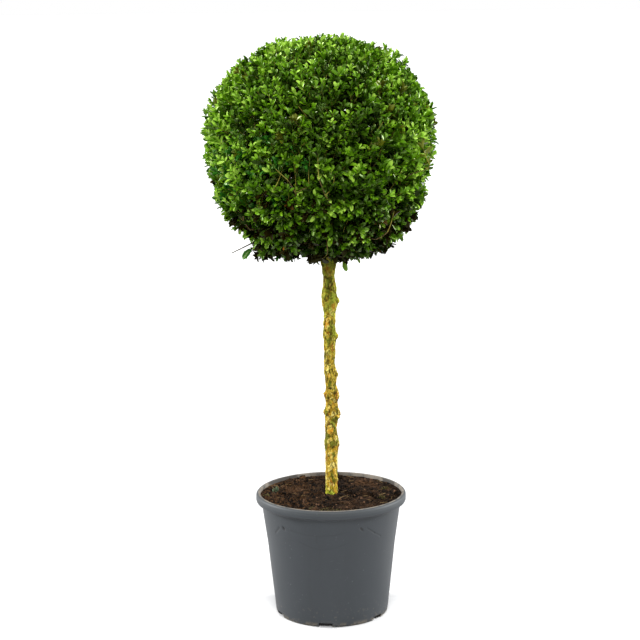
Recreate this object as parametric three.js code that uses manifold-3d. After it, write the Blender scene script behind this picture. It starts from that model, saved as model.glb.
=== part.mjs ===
// Standard lollipop topiary: a clipped ball of small-leaved box on one bare trunk, in a nursery pot.
// Millimetres, +Z up. The origin is the centre of the pot's flat underside and the front faces -Y.
// Angles round the plant are degrees from +X towards +Y, seen from above.

import * as THREE from "three";
import { mergeVertices } from "three/addons/utils/BufferGeometryUtils.js";
import Module from "manifold-3d";

const wasm = await Module();
wasm.setup();

// Clearance between two pieces that touch.
const GAP = 0.3;

// Pot: a tapered injection-moulded container with a collar and a turned-down rim.
const POT_HEIGHT = 235;
const POT_SEGMENTS = 56;
const WALL_THICKNESS = 2;
const FLOOR_THICKNESS = 2.5;
const FOOT_RADIUS = 100.4;
const FOOT_ROUNDING = 7;
const WALL_BEND = 137;
const WALL_BEND_RADIUS = 121.2;
const WALL_TOP = 213.5;
const WALL_TOP_RADIUS = 131.8;
const COLLAR_STEP = 4.7;
const COLLAR_RISE = 11;
const RIM_RADIUS = 142.3;
const RIM_SKIRT = 19.5;
const RIM_CURL = 7;
const RIM_CURL_DEPTH = 3.4;
const RIM_EDGE_ROUNDING = 6;
const RIM_LIP_ROUNDING = 2.2;
const RIM_LAND = 4.5;
const SKIRT_BEVEL = 0.4;
const BEND_EASE = 0.8;
const DRAIN_COUNT = 6;
const DRAIN_WIDTH = 26;
const DRAIN_HEIGHT = 5.8;
const DRAIN_DEPTH = 30;
const DRAIN_FIRST_ANGLE = 263;

// Soil: fills the pot to just under the rim.
const SOIL_EDGE_HEIGHT = 228.5;
const SOIL_TRUNK_HEIGHT = 228;
const SOIL_SEAT_RADIUS = 24;
const SOIL_LUMP = 1.8;
const SOIL_BANK_WIDTH = 14;
const SOIL_RING_STEP = 24;
const SOIL_CORNER_RADIUS = 80;
const SOIL_CORNER_HEIGHT = 16;

// Trunk: from the soil to the fork, upright, with a slight bow to the right halfway.
const TRUNK_FOOT = SOIL_TRUNK_HEIGHT + GAP;
const TRUNK_TOP = 684;
const TRUNK_FOOT_CENTRE = new THREE.Vector2(1.2, 0);
const TRUNK_TOP_CENTRE = new THREE.Vector2(0, 1.5);
const TRUNK_BOW = 2.2;
const TRUNK_BOW_HEIGHT = 418;
const TRUNK_BOW_HALF = 42;
const TRUNK_SWAY = 1.1;
const TRUNK_FOOT_RADIUS = 11.2;
const TRUNK_TOP_RADIUS = 10.2;
const ROOT_FLARE = 0.9;
const ROOT_FLARE_HEIGHT = 16;
const FORK_FLARE = 5.6;
const FORK_FLARE_HEIGHT = 26;
const TRUNK_RIPPLE = 0.5;
const TRUNK_SIDES = 18;
const TRUNK_STEP = 10.5;

// Swellings on the trunk where side shoots were pruned away: height, angle, reach, half length.
const BURRS = [
  { height: 627, angle: 10, reach: 3.0, half: 12 },
  { height: 606, angle: 182, reach: 5.4, half: 25 },
  { height: 600, angle: 350, reach: 5.4, half: 15 },
  { height: 556, angle: 235, reach: 3.6, half: 17 },
  { height: 533, angle: 5, reach: 4.2, half: 9 },
  { height: 534, angle: 200, reach: 2.6, half: 14 },
  { height: 505, angle: 70, reach: 4.0, half: 14 },
  { height: 469, angle: 260, reach: 3.0, half: 16 },
  { height: 461, angle: 355, reach: 3.4, half: 10 },
  { height: 438, angle: 180, reach: -1.8, half: 12 },
  { height: 422, angle: 12, reach: 6.4, half: 12 },
  { height: 422, angle: 170, reach: 3.4, half: 7 },
  { height: 385, angle: 350, reach: 6.2, half: 13 },
  { height: 387, angle: 178, reach: 3.4, half: 9 },
  { height: 357, angle: 250, reach: 4.0, half: 15 },
  { height: 329, angle: 5, reach: 4.6, half: 15 },
  { height: 326, angle: 185, reach: 3.2, half: 13 },
  { height: 300, angle: 95, reach: 4.2, half: 16 },
  { height: 268, angle: 310, reach: 2.4, half: 16 },
];

// Boughs: each rises from the head of the trunk through the hollow under the crown.
// start is how far from the trunk's middle each begins, slope its rise over its run.
const BOUGHS = [
  { name: "bough_leader", angle: 120, start: -4, slope: 3.4, foot: 8.6, tip: 7.2 },
  { name: "bough_right", angle: 352, start: 2, slope: 0.72, foot: 6.8, tip: 5.0 },
  { name: "bough_back", angle: 72, start: 2, slope: 0.95, foot: 6.4, tip: 4.8 },
  { name: "bough_left", angle: 165, start: 2, slope: 0.85, foot: 6.6, tip: 4.9 },
  { name: "bough_front", angle: 258, start: 2, slope: 1.05, foot: 6.2, tip: 4.6 },
];
const BOUGH_ROOT_DROP = 9;
const BOUGH_SIDES = 12;
const BOUGH_STEPS = 7;
const BOUGH_SAG = 0.16;
const BOUGH_SOCKET = 8;

// Crown: a clipped ball, its underside cut flat and hollow round the fork.
const CROWN_RADIUS = 214;
const CROWN_CENTRE = new THREE.Vector3(-14, 0, 892);
const CROWN_TOP_HEIGHT = 199;
const CROWN_TOP_POWER = 2.25;
const CROWN_LOWER_DEPTH = 232;
const CROWN_LOWER_POWER = 2;
const CROWN_UNDERSIDE = 685;
const CROWN_UNDERSIDE_SOFTNESS = 14;
const CROWN_WAVE = 3.2;
const CROWN_DETAIL = 10;
const HOLLOW_RADIUS = 53;
const HOLLOW_HEIGHT = 46;
const HOLLOW_SEGMENTS = 20;

// Shoulders and dips left by the shears: angle, elevation, reach, spread in degrees.
const SHOULDERS = [
  { angle: 180, elevation: 11, reach: 6, spread: 14 },
  { angle: 180, elevation: 32, reach: -6, spread: 16 },
  { angle: 180, elevation: 66, reach: 4, spread: 18 },
  { angle: 180, elevation: -34, reach: -6, spread: 18 },
  { angle: 200, elevation: -52, reach: 4, spread: 18 },
  { angle: 0, elevation: 11, reach: 6, spread: 14 },
  { angle: 0, elevation: -18, reach: -4, spread: 22 },
  { angle: 0, elevation: -50, reach: 7, spread: 16 },
  { angle: 60, elevation: 35, reach: 5, spread: 24 },
  { angle: 310, elevation: 50, reach: 4, spread: 24 },
  { angle: 255, elevation: -10, reach: 4, spread: 30 },
];

const POT_MATERIAL = new THREE.MeshStandardMaterial({ color: 0x555b60, roughness: 0.6, metalness: 0 });
const SOIL_MATERIAL = new THREE.MeshStandardMaterial({ color: 0x38291d, roughness: 0.95, metalness: 0 });
const BARK_MATERIAL = new THREE.MeshStandardMaterial({ color: 0xa99550, roughness: 0.85, metalness: 0 });
const LEAF_MATERIAL = new THREE.MeshStandardMaterial({ color: 0x3c5c16, roughness: 0.6, metalness: 0 });

// Numbers from 0 to 1 that are the same each run.
function seededRandom(seed) {
  let state = seed;
  return () => {
    state = (Math.imul(state, 1664525) + 1013904223) >>> 0;
    return state / 4294967296;
  };
}

// A sum of slow sine waves through space, between about -1 and 1.
function makeWaves(seed, count, frequency) {
  const random = seededRandom(seed);
  const waves = Array.from({ length: count }, () => {
    const direction = new THREE.Vector3(random() - 0.5, random() - 0.5, random() - 0.5);
    const rate = frequency * (0.6 + 0.8 * random());
    return { direction: direction.normalize().multiplyScalar(rate), phase: Math.PI * 2 * random() };
  });
  return (point) => {
    const heights = waves.map((wave) => Math.sin(wave.direction.dot(point) + wave.phase));
    return heights.reduce((sum, height) => sum + height, 0) / Math.sqrt(count);
  };
}

// A closed body from rings of equal length, the first ring lowest, each end closed to its middle.
function loft(rings) {
  const sides = rings[0].length;
  const middle = (ring) => ring.reduce((sum, p) => sum.add(p), new THREE.Vector3()).divideScalar(sides);
  const points = [...rings.flat(), middle(rings[0]), middle(rings.at(-1))];
  const last = (rings.length - 1) * sides;
  const faces = [];
  for (let i = 0; i < sides; i += 1) {
    const next = (i + 1) % sides;
    for (let base = 0; base < last; base += sides) {
      faces.push(base + i, base + next, base + sides + next);
      faces.push(base + i, base + sides + next, base + sides + i);
    }
    faces.push(points.length - 2, next, i);
    faces.push(points.length - 1, last + i, last + next);
  }
  const geometry = new THREE.BufferGeometry().setFromPoints(points);
  geometry.setIndex(faces);
  return geometry;
}

// A three.js geometry as a solid that can be cut.
function toSolid(source) {
  const bare = new THREE.BufferGeometry().setAttribute("position", source.getAttribute("position"));
  bare.setIndex(source.index);
  const merged = mergeVertices(bare, 1e-3);
  const index = merged.index.array;
  const triangles = [];
  for (let i = 0; i < index.length; i += 3) {
    const [a, b, c] = index.slice(i, i + 3);
    if (a !== b && b !== c && c !== a) {
      triangles.push(a, b, c);
    }
  }
  return new wasm.Manifold(new wasm.Mesh({
    numProp: 3,
    vertProperties: new Float32Array(merged.getAttribute("position").array),
    triVerts: new Uint32Array(triangles),
  }));
}

function toGeometry(solid) {
  const mesh = solid.getMesh();
  const geometry = new THREE.BufferGeometry();
  geometry.setAttribute("position", new THREE.BufferAttribute(mesh.vertProperties, 3));
  geometry.setIndex(new THREE.BufferAttribute(mesh.triVerts, 1));
  return geometry;
}

// A body turned about the Z axis from a list of [radius, height] pairs.
function turned(profile, segments) {
  const points = profile.map(([radius, height]) => new THREE.Vector2(radius, height));
  return new THREE.LatheGeometry(points, segments).rotateX(Math.PI / 2);
}

function named(name, geometry, material) {
  const mesh = new THREE.Mesh(geometry, material);
  mesh.name = name;
  return mesh;
}

// Outer radius of the pot's plain wall at a height: it flares more above its bend.
function wallRadius(height) {
  const { mapLinear } = THREE.MathUtils;
  if (height > WALL_BEND) {
    return mapLinear(height, WALL_BEND, WALL_TOP, WALL_BEND_RADIUS, WALL_TOP_RADIUS);
  }
  return mapLinear(height, FOOT_ROUNDING, WALL_BEND, FOOT_RADIUS + FOOT_ROUNDING, WALL_BEND_RADIUS);
}

const COLLAR_TOP = WALL_TOP + COLLAR_RISE;
const COLLAR_RADIUS = WALL_TOP_RADIUS + COLLAR_STEP;
const INNER_FOOT = FOOT_ROUNDING + WALL_THICKNESS;

// The inside of the pot's wall from its foot up to the collar, as [radius, height] pairs.
const INNER_WALL = [
  [wallRadius(INNER_FOOT) - WALL_THICKNESS, INNER_FOOT],
  [WALL_BEND_RADIUS - WALL_THICKNESS, WALL_BEND],
  [WALL_TOP_RADIUS - WALL_THICKNESS, WALL_TOP - BEND_EASE],
  [COLLAR_RADIUS - WALL_THICKNESS, COLLAR_TOP + BEND_EASE],
];

function makePot() {
  const footArc = [0, 30, 60, 90].map((angle) => {
    const turn = THREE.MathUtils.degToRad(angle);
    return [
      FOOT_RADIUS + FOOT_ROUNDING * Math.sin(turn),
      FOOT_ROUNDING * (1 - Math.cos(turn)),
    ];
  });
  const collarInner = COLLAR_RADIUS - WALL_THICKNESS;
  const skirtInner = RIM_RADIUS - WALL_THICKNESS;
  const pocketTop = POT_HEIGHT - RIM_LAND;
  const skirtBottom = POT_HEIGHT - RIM_SKIRT;
  const shell = toSolid(turned([
    [0, 0],
    ...footArc,
    [WALL_BEND_RADIUS, WALL_BEND],
    [WALL_TOP_RADIUS, WALL_TOP],
    [COLLAR_RADIUS, COLLAR_TOP],
    [COLLAR_RADIUS, pocketTop],
    [skirtInner, pocketTop],
    [skirtInner - RIM_CURL_DEPTH, skirtBottom + SKIRT_BEVEL],
    [RIM_RADIUS - RIM_CURL_DEPTH, skirtBottom],
    [RIM_RADIUS, skirtBottom + RIM_CURL],
    [RIM_RADIUS, POT_HEIGHT - RIM_EDGE_ROUNDING],
    [RIM_RADIUS - 0.3 * RIM_EDGE_ROUNDING, POT_HEIGHT - 0.3 * RIM_EDGE_ROUNDING],
    [RIM_RADIUS - RIM_EDGE_ROUNDING, POT_HEIGHT],
    [collarInner + RIM_LIP_ROUNDING, POT_HEIGHT],
    [collarInner + SKIRT_BEVEL, POT_HEIGHT - RIM_LIP_ROUNDING],
    ...INNER_WALL.toReversed(),
    [FOOT_RADIUS + 1, FLOOR_THICKNESS],
    [0, FLOOR_THICKNESS],
  ], POT_SEGMENTS));
  const outerReach = FOOT_RADIUS + 2 * FOOT_ROUNDING;
  const cuts = Array.from({ length: DRAIN_COUNT }, (_, i) => {
    const angle = DRAIN_FIRST_ANGLE + i * 360 / DRAIN_COUNT;
    const cut = new THREE.BoxGeometry(DRAIN_DEPTH, DRAIN_WIDTH, 2 * DRAIN_HEIGHT);
    cut.translate(outerReach - DRAIN_DEPTH / 2, 0, 0);
    return toSolid(cut.rotateZ(THREE.MathUtils.degToRad(angle)));
  });
  return toGeometry(cuts.reduce((pot, cut) => pot.subtract(cut), shell));
}

function makeSoil() {
  const lumps = makeWaves(31, 6, 0.06);
  const ring = (radius, height, lump) => Array.from({ length: POT_SEGMENTS }, (_, i) => {
    const turn = Math.PI * 2 * i / POT_SEGMENTS;
    const point = new THREE.Vector3(radius * Math.cos(turn), radius * Math.sin(turn), height);
    point.z += lump * lumps(point);
    return point;
  });
  const edgeRadius = COLLAR_RADIUS - WALL_THICKNESS - GAP;
  const rings = [
    ring(SOIL_CORNER_RADIUS, FLOOR_THICKNESS + GAP, 0),
    ring(wallRadius(SOIL_CORNER_HEIGHT) - WALL_THICKNESS - GAP, SOIL_CORNER_HEIGHT, 0),
    ...INNER_WALL.slice(1).map(([radius, height]) => ring(radius - GAP, height, 0)),
    ring(edgeRadius, SOIL_EDGE_HEIGHT, 0),
  ];
  const firstRadius = edgeRadius - SOIL_BANK_WIDTH;
  for (let radius = firstRadius; radius > SOIL_SEAT_RADIUS; radius -= SOIL_RING_STEP) {
    const along = (edgeRadius - radius) / (edgeRadius - SOIL_SEAT_RADIUS);
    const height = SOIL_EDGE_HEIGHT + (SOIL_TRUNK_HEIGHT - SOIL_EDGE_HEIGHT) * along;
    rings.push(ring(radius, height, SOIL_LUMP * (1 - along ** 4)));
  }
  rings.push(ring(SOIL_SEAT_RADIUS, SOIL_TRUNK_HEIGHT, 0));
  return loft(rings);
}

// A smooth hump: 1 at its middle, falling to about a third at a distance of 1.
function swelling(distance) {
  return Math.exp(-distance * distance);
}

// The unit vector at an angle round the plant and an elevation above level, in degrees.
function towards(angle, elevation) {
  const turn = THREE.MathUtils.degToRad(angle);
  const rise = THREE.MathUtils.degToRad(elevation);
  const level = Math.cos(rise);
  return new THREE.Vector3(level * Math.cos(turn), level * Math.sin(turn), Math.sin(rise));
}

// The middle of the trunk at a height.
function trunkCentre(height) {
  const along = (height - TRUNK_FOOT) / (TRUNK_TOP - TRUNK_FOOT);
  const centre = TRUNK_FOOT_CENTRE.clone().lerp(TRUNK_TOP_CENTRE, along);
  const swing = Math.PI * 2 * along;
  centre.x += TRUNK_SWAY * Math.sin(1.5 * swing) * Math.sin(swing / 2);
  centre.x += TRUNK_BOW * swelling((height - TRUNK_BOW_HEIGHT) / TRUNK_BOW_HALF);
  centre.y += TRUNK_SWAY * Math.sin(swing);
  return centre;
}

// How far the trunk stands out from its middle at a height and a turn: taper, flares and burrs.
const trunkRipple = makeWaves(7, 5, 0.16);
function trunkRadius(height, turn) {
  const along = (height - TRUNK_FOOT) / (TRUNK_TOP - TRUNK_FOOT);
  let radius = TRUNK_FOOT_RADIUS + (TRUNK_TOP_RADIUS - TRUNK_FOOT_RADIUS) * along;
  radius += ROOT_FLARE * swelling((height - TRUNK_FOOT) / ROOT_FLARE_HEIGHT);
  radius += FORK_FLARE * swelling((TRUNK_TOP - height) / FORK_FLARE_HEIGHT);
  for (const burr of BURRS) {
    const facing = Math.max(0, Math.cos(turn - THREE.MathUtils.degToRad(burr.angle)));
    radius += burr.reach * swelling((height - burr.height) / burr.half) * facing ** 1.5;
  }
  const spot = new THREE.Vector3(radius * Math.cos(turn), radius * Math.sin(turn), height);
  return radius + TRUNK_RIPPLE * trunkRipple(spot);
}

function makeTrunk(extra) {
  const steps = Math.round((TRUNK_TOP - TRUNK_FOOT) / TRUNK_STEP);
  const rings = Array.from({ length: steps + 1 }, (_, step) => {
    const height = THREE.MathUtils.lerp(TRUNK_FOOT, TRUNK_TOP, step / steps);
    const centre = trunkCentre(height);
    return Array.from({ length: TRUNK_SIDES }, (_, side) => {
      const turn = Math.PI * 2 * side / TRUNK_SIDES;
      const radius = trunkRadius(height, turn) + extra;
      const rise = step === steps ? extra : 0;
      return new THREE.Vector3(
        centre.x + radius * Math.cos(turn),
        centre.y + radius * Math.sin(turn),
        height + rise,
      );
    });
  });
  return loft(rings);
}

// The way a bough runs: out of the trunk's head, sagging a little, up to the roof of the hollow.
function boughCurve(bough) {
  const outward = towards(bough.angle, 0);
  const head = new THREE.Vector3(TRUNK_TOP_CENTRE.x, TRUNK_TOP_CENTRE.y, TRUNK_TOP - BOUGH_ROOT_DROP);
  const start = head.clone().addScaledVector(outward, bough.start);
  const along = outward.clone().add(new THREE.Vector3(0, 0, bough.slope)).normalize();
  let reach = 0;
  while (insideHollow(start.clone().addScaledVector(along, reach))) {
    reach += 1;
  }
  const end = start.clone().addScaledVector(along, reach + BOUGH_SOCKET);
  const bend = start.clone().lerp(end, 0.5);
  bend.z -= BOUGH_SAG * start.distanceTo(end);
  return new THREE.QuadraticBezierCurve3(start, bend, end);
}

function insideHollow(point) {
  const side = Math.hypot(point.x - TRUNK_TOP_CENTRE.x, point.y - TRUNK_TOP_CENTRE.y) / HOLLOW_RADIUS;
  const rise = (point.z - CROWN_UNDERSIDE) / HOLLOW_HEIGHT;
  return side * side + Math.max(0, rise) ** 2 < 1;
}

function makeBough(bough, extra) {
  const curve = boughCurve(bough);
  const frames = curve.computeFrenetFrames(BOUGH_STEPS, false);
  const rings = Array.from({ length: BOUGH_STEPS + 1 }, (_, step) => {
    const along = step / BOUGH_STEPS;
    const middle = curve.getPointAt(along);
    middle.addScaledVector(frames.tangents[step], step === BOUGH_STEPS ? extra : 0);
    const radius = THREE.MathUtils.lerp(bough.foot, bough.tip, along) + extra;
    return Array.from({ length: BOUGH_SIDES }, (_, side) => {
      const turn = Math.PI * 2 * side / BOUGH_SIDES;
      return middle.clone()
        .addScaledVector(frames.normals[step], radius * Math.cos(turn))
        .addScaledVector(frames.binormals[step], radius * Math.sin(turn));
    });
  });
  return loft(rings);
}

// How far the clipped surface lies from the crown's centre in a direction.
const crownWaves = makeWaves(12, 7, 5);
function crownReach(direction) {
  const upper = direction.z > 0;
  const height = upper ? CROWN_TOP_HEIGHT : CROWN_LOWER_DEPTH;
  const power = upper ? CROWN_TOP_POWER : CROWN_LOWER_POWER;
  const flat = Math.hypot(direction.x, direction.y) / CROWN_RADIUS;
  const tall = Math.abs(direction.z) / height;
  let reach = (flat ** power + tall ** power) ** (-1 / power);
  reach += CROWN_WAVE * crownWaves(direction);
  for (const shoulder of SHOULDERS) {
    const away = direction.angleTo(towards(shoulder.angle, shoulder.elevation));
    reach += shoulder.reach * swelling(THREE.MathUtils.radToDeg(away) / shoulder.spread);
  }
  return reach;
}

function makeCrown(cuts) {
  const ball = new THREE.IcosahedronGeometry(1, CROWN_DETAIL);
  const places = ball.getAttribute("position");
  const direction = new THREE.Vector3();
  for (let i = 0; i < places.count; i += 1) {
    direction.fromBufferAttribute(places, i).normalize();
    const point = direction.clone().multiplyScalar(crownReach(direction)).add(CROWN_CENTRE);
    const above = point.z - CROWN_UNDERSIDE;
    point.z = CROWN_UNDERSIDE + (above + Math.hypot(above, CROWN_UNDERSIDE_SOFTNESS)) / 2;
    places.setXYZ(i, point.x, point.y, point.z);
  }
  const hollow = new THREE.SphereGeometry(1, HOLLOW_SEGMENTS, HOLLOW_SEGMENTS / 2);
  hollow.rotateX(Math.PI / 2);
  hollow.scale(HOLLOW_RADIUS, HOLLOW_RADIUS, HOLLOW_HEIGHT);
  hollow.translate(TRUNK_TOP_CENTRE.x, TRUNK_TOP_CENTRE.y, CROWN_UNDERSIDE);
  const mass = toSolid(ball).subtract(toSolid(hollow));
  return toGeometry(cuts.reduce((crown, cut) => crown.subtract(cut), mass));
}

const plant = new THREE.Group();
plant.add(named("pot", makePot(), POT_MATERIAL));
plant.add(named("soil", makeSoil(), SOIL_MATERIAL));
plant.add(named("trunk", makeTrunk(0), BARK_MATERIAL));

// Each bough is fitted round the trunk and round the boughs before it.
const taken = [toSolid(makeTrunk(GAP))];
for (const bough of BOUGHS) {
  const fitted = taken.reduce((limb, other) => limb.subtract(other), toSolid(makeBough(bough, 0)));
  plant.add(named(bough.name, toGeometry(fitted), BARK_MATERIAL));
  taken.push(toSolid(makeBough(bough, GAP)));
}
plant.add(named("crown", makeCrown(taken), LEAF_MATERIAL));

export default plant;
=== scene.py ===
"""A clipped ball of small-leaved evergreen on one bare knobbly trunk, in its round nursery pot."""
import math
from collections import namedtuple
from itertools import product

import bpy
import numpy as np
from mathutils import Matrix, Vector, noise


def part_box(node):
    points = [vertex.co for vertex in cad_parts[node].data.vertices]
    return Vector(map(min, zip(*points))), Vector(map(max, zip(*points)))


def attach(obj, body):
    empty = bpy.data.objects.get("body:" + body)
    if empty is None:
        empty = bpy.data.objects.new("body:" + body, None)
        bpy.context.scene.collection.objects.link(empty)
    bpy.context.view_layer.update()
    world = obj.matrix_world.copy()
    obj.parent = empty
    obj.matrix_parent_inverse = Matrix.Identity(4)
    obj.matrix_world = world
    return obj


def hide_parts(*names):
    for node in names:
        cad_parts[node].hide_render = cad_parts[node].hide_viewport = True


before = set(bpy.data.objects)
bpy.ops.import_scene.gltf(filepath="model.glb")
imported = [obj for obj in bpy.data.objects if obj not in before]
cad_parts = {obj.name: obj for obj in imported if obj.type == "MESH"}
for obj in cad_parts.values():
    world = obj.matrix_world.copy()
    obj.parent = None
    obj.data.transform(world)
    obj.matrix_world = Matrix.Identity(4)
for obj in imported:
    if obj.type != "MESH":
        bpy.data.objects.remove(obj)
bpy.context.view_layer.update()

# ----------------------------------------------------------------------------------------------
# The pot: a round tapered nursery pot, injection moulded in slate-grey polypropylene. Its wall
# flares to a collar under a turned-down rim that curls in below, and six notches in the foot let
# water out. Two pits, short grooves and faint nested creases are moulded into the front.

MM = 0.001
RIM_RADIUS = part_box("pot")[1].x
POT_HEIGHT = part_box("pot")[1].z
WALL_THICKNESS = 2 * MM
FLOOR_THICKNESS = 2.5 * MM
FLOOR_RING = 13 * MM
FOOT_RADIUS = 100.4 * MM
FOOT_ROUNDING = 7 * MM
WALL_BEND = 137 * MM
WALL_BEND_RADIUS = 121.2 * MM
WALL_TOP = POT_HEIGHT - 21.5 * MM
WALL_TOP_RADIUS = RIM_RADIUS - 10.5 * MM
COLLAR_TOP = WALL_TOP + 11 * MM
COLLAR_RADIUS = WALL_TOP_RADIUS + 4.7 * MM
COLLAR_ROUNDING = (0.6 * MM, 1 * MM)
RIM_SKIRT = 17.5 * MM
RIM_CURL = 4.5 * MM
RIM_CURL_DEPTH = 3.4 * MM
RIM_ROUNDING = 6 * MM
RIM_LIP_ROUNDING = 2.2 * MM
RIM_LAND = 4.5 * MM
DRAIN_COUNT = 6
DRAIN_WIDTH = 26 * MM
DRAIN_HEIGHT = 9 * MM
DRAIN_DEPTH = 30 * MM
DRAIN_CORNER = 1.6 * MM
DRAIN_FIRST_ANGLE = 263

FRONT_ARC = (203, 327)
FRONT_COLUMN = 0.6
PLAIN_COLUMN = 2.5
MARK_BAND = (146 * MM, 203 * MM)
MARK_ROW = 1.3 * MM
PLAIN_ROW = 6 * MM
INNER_ROW = 20 * MM
# How deep a moulded mark must be for its painted shade to be full.
MARK_SHADE_DEPTH = 1.4 * MM

Pit = namedtuple("Pit", "angle height reach depth")
Groove = namedtuple("Groove", "start end width depth")
Crease = namedtuple("Crease", "middle half low rise width depth")
PITS = [
    Pit(226.2, 189.4 * MM, 2.5 * MM, 1.8 * MM),
    Pit(295.2, 193.6 * MM, 2.7 * MM, 1.6 * MM),
]
GROOVES = [
    Groove((221.4, 189 * MM), (214.5, 175 * MM), 1.5 * MM, 0.7 * MM),
    Groove((300.8, 193.5 * MM), (308.0, 182 * MM), 1.5 * MM, 0.8 * MM),
    Groove((308.0, 182 * MM), (315.8, 172 * MM), 1.4 * MM, 0.6 * MM),
    Groove((257.2, 181.6 * MM), (257.2, 171 * MM), 1.4 * MM, 0.3 * MM),
]
CREASES = [
    Crease(256.0, 30.0, 183.5 * MM, 9 * MM, 1.4 * MM, 0.32 * MM),
    Crease(262.5, 24.0, 157.5 * MM, 15 * MM, 1.4 * MM, 0.32 * MM),
]


def arc(centre, radius, start, end, steps):
    """Points of an arc, as (radius from the axis, height), from one angle to another in degrees."""
    turns = np.radians(np.linspace(start, end, steps))
    return [(centre[0] + radius * math.cos(t), centre[1] + radius * math.sin(t)) for t in turns]


def spaced(start, end, step):
    """Points from start up to but not including end, about one step apart."""
    count = max(1, round(math.dist(start, end) / step))
    return [tuple(point) for point in np.linspace(start, end, count, endpoint=False)]


def wall_radius(height):
    """Outer radius of the plain wall at a height: it flares more above its bend."""
    radii = (FOOT_RADIUS + FOOT_ROUNDING, WALL_BEND_RADIUS, WALL_TOP_RADIUS)
    return np.interp(height, (FOOT_ROUNDING, WALL_BEND, WALL_TOP), radii)


def pot_profile():
    """The section from the axis under the floor, up the outside, over the rim and back inside."""
    low_mark, high_mark = ((wall_radius(height), height) for height in MARK_BAND)
    foot_edge = (FOOT_RADIUS + FOOT_ROUNDING, FOOT_ROUNDING)
    bend = (WALL_BEND_RADIUS, WALL_BEND)
    inner_bend = (WALL_BEND_RADIUS - WALL_THICKNESS, WALL_BEND)
    skirt_inner = RIM_RADIUS - WALL_THICKNESS
    skirt_low = POT_HEIGHT - RIM_SKIRT
    curl_radius = RIM_RADIUS - RIM_CURL_DEPTH
    curl = [(curl_radius + RIM_CURL_DEPTH * across, skirt_low + RIM_CURL * (1 + up))
            for across, up in arc((0, 0), 1, -80, 0, 7)]
    collar_inner = COLLAR_RADIUS - WALL_THICKNESS
    inner_foot = FOOT_ROUNDING + WALL_THICKNESS
    return [
        (0, 0),
        *spaced((8 * MM, 0), (FOOT_RADIUS, 0), FLOOR_RING),
        *arc((FOOT_RADIUS, FOOT_ROUNDING), FOOT_ROUNDING, -90, -8, 8),
        *spaced(foot_edge, bend, PLAIN_ROW),
        *spaced(bend, low_mark, PLAIN_ROW),
        *spaced(low_mark, high_mark, MARK_ROW),
        *spaced(high_mark, (WALL_TOP_RADIUS, WALL_TOP), PLAIN_ROW),
        (WALL_TOP_RADIUS, WALL_TOP),
        (WALL_TOP_RADIUS + 0.8 * MM, WALL_TOP + 0.5 * MM),
        (COLLAR_RADIUS - COLLAR_ROUNDING[0], COLLAR_TOP - COLLAR_ROUNDING[1]),
        (COLLAR_RADIUS, COLLAR_TOP),
        (COLLAR_RADIUS, POT_HEIGHT - RIM_LAND),
        (skirt_inner, POT_HEIGHT - RIM_LAND),
        (curl_radius - WALL_THICKNESS, skirt_low + 0.7 * MM),
        *curl,
        *arc((RIM_RADIUS - RIM_ROUNDING, POT_HEIGHT - RIM_ROUNDING), RIM_ROUNDING, 0, 90, 9),
        *arc((collar_inner + RIM_LIP_ROUNDING, POT_HEIGHT - RIM_LIP_ROUNDING),
             RIM_LIP_ROUNDING, 90, 172, 6),
        (collar_inner, COLLAR_TOP),
        (WALL_TOP_RADIUS - WALL_THICKNESS, WALL_TOP),
        *spaced(inner_bend, (wall_radius(inner_foot) - WALL_THICKNESS, inner_foot), INNER_ROW),
        (wall_radius(inner_foot) - WALL_THICKNESS, inner_foot),
        (FOOT_RADIUS + 1 * MM, FLOOR_THICKNESS),
        (60 * MM, FLOOR_THICKNESS),
        (0, FLOOR_THICKNESS),
    ]


def moulded_relief(angle, height):
    """How far the marks moulded into the wall stand out at angles in degrees and heights."""
    across = np.radians(angle) * wall_radius(height)
    relief = np.zeros_like(height)
    for pit in PITS:
        middle = math.radians(pit.angle) * wall_radius(pit.height)
        away = np.hypot(across - middle, (height - pit.height) / 1.5) / pit.reach
        relief -= pit.depth * np.exp(-away ** 4)
    for groove in GROOVES:
        start, end = (np.array([math.radians(turn) * wall_radius(up), up])
                      for turn, up in (groove.start, groove.end))
        along = end - start
        part = ((across - start[0]) * along[0] + (height - start[1]) * along[1]) / (along @ along)
        part = np.clip(part, 0, 1)
        away = np.hypot(across - start[0] - part * along[0], height - start[1] - part * along[1])
        relief -= groove.depth * np.exp(-(away / groove.width) ** 2)
    for crease in CREASES:
        along = (angle - crease.middle) / crease.half
        away = (height - crease.low - crease.rise * along ** 2) / crease.width
        fade = np.clip(4 - 4 * np.abs(along), 0, 1)
        relief -= crease.depth * fade * np.exp(-away ** 2)
    return relief


def placed(name, data):
    """A new object of that name in the scene, with this mesh, lamp or lens."""
    thing = bpy.data.objects.new(name, data)
    bpy.context.scene.collection.objects.link(thing)
    return thing


def new_piece(name, vertices, faces):
    """A mesh object of that name, with nothing done to it yet."""
    mesh = bpy.data.meshes.new(name)
    mesh.from_pydata(vertices, [], faces)
    mesh.validate()
    return placed(name, mesh)


def turned(name, profile, angles, shift):
    """A closed body turned about the upright axis, whose rings shift() may move out and up."""
    section = np.array(profile[1:-1])
    rows = len(section)
    columns = len(angles)
    turn = np.tile(angles, rows)
    radius, height = (np.repeat(values, columns) for values in section.T)
    row = np.repeat(np.arange(rows), columns)
    out, up = shift(row, turn, radius, height)
    radius = radius + out
    turn = np.radians(turn)
    ring = np.stack([radius * np.cos(turn), radius * np.sin(turn), height + up], axis=1)
    vertices = np.vstack([ring, [[0, 0, profile[0][1]], [0, 0, profile[-1][1]]]])
    first_pole = rows * columns
    faces = []
    for column in range(columns):
        beside = (column + 1) % columns
        faces.append((first_pole, beside, column))
        for low in range(0, (rows - 1) * columns, columns):
            high = low + columns
            faces.append((low + column, low + beside, high + beside, high + column))
        last = (rows - 1) * columns
        faces.append((last + column, last + beside, first_pole + 1))
    return new_piece(name, vertices.tolist(), faces)


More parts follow.
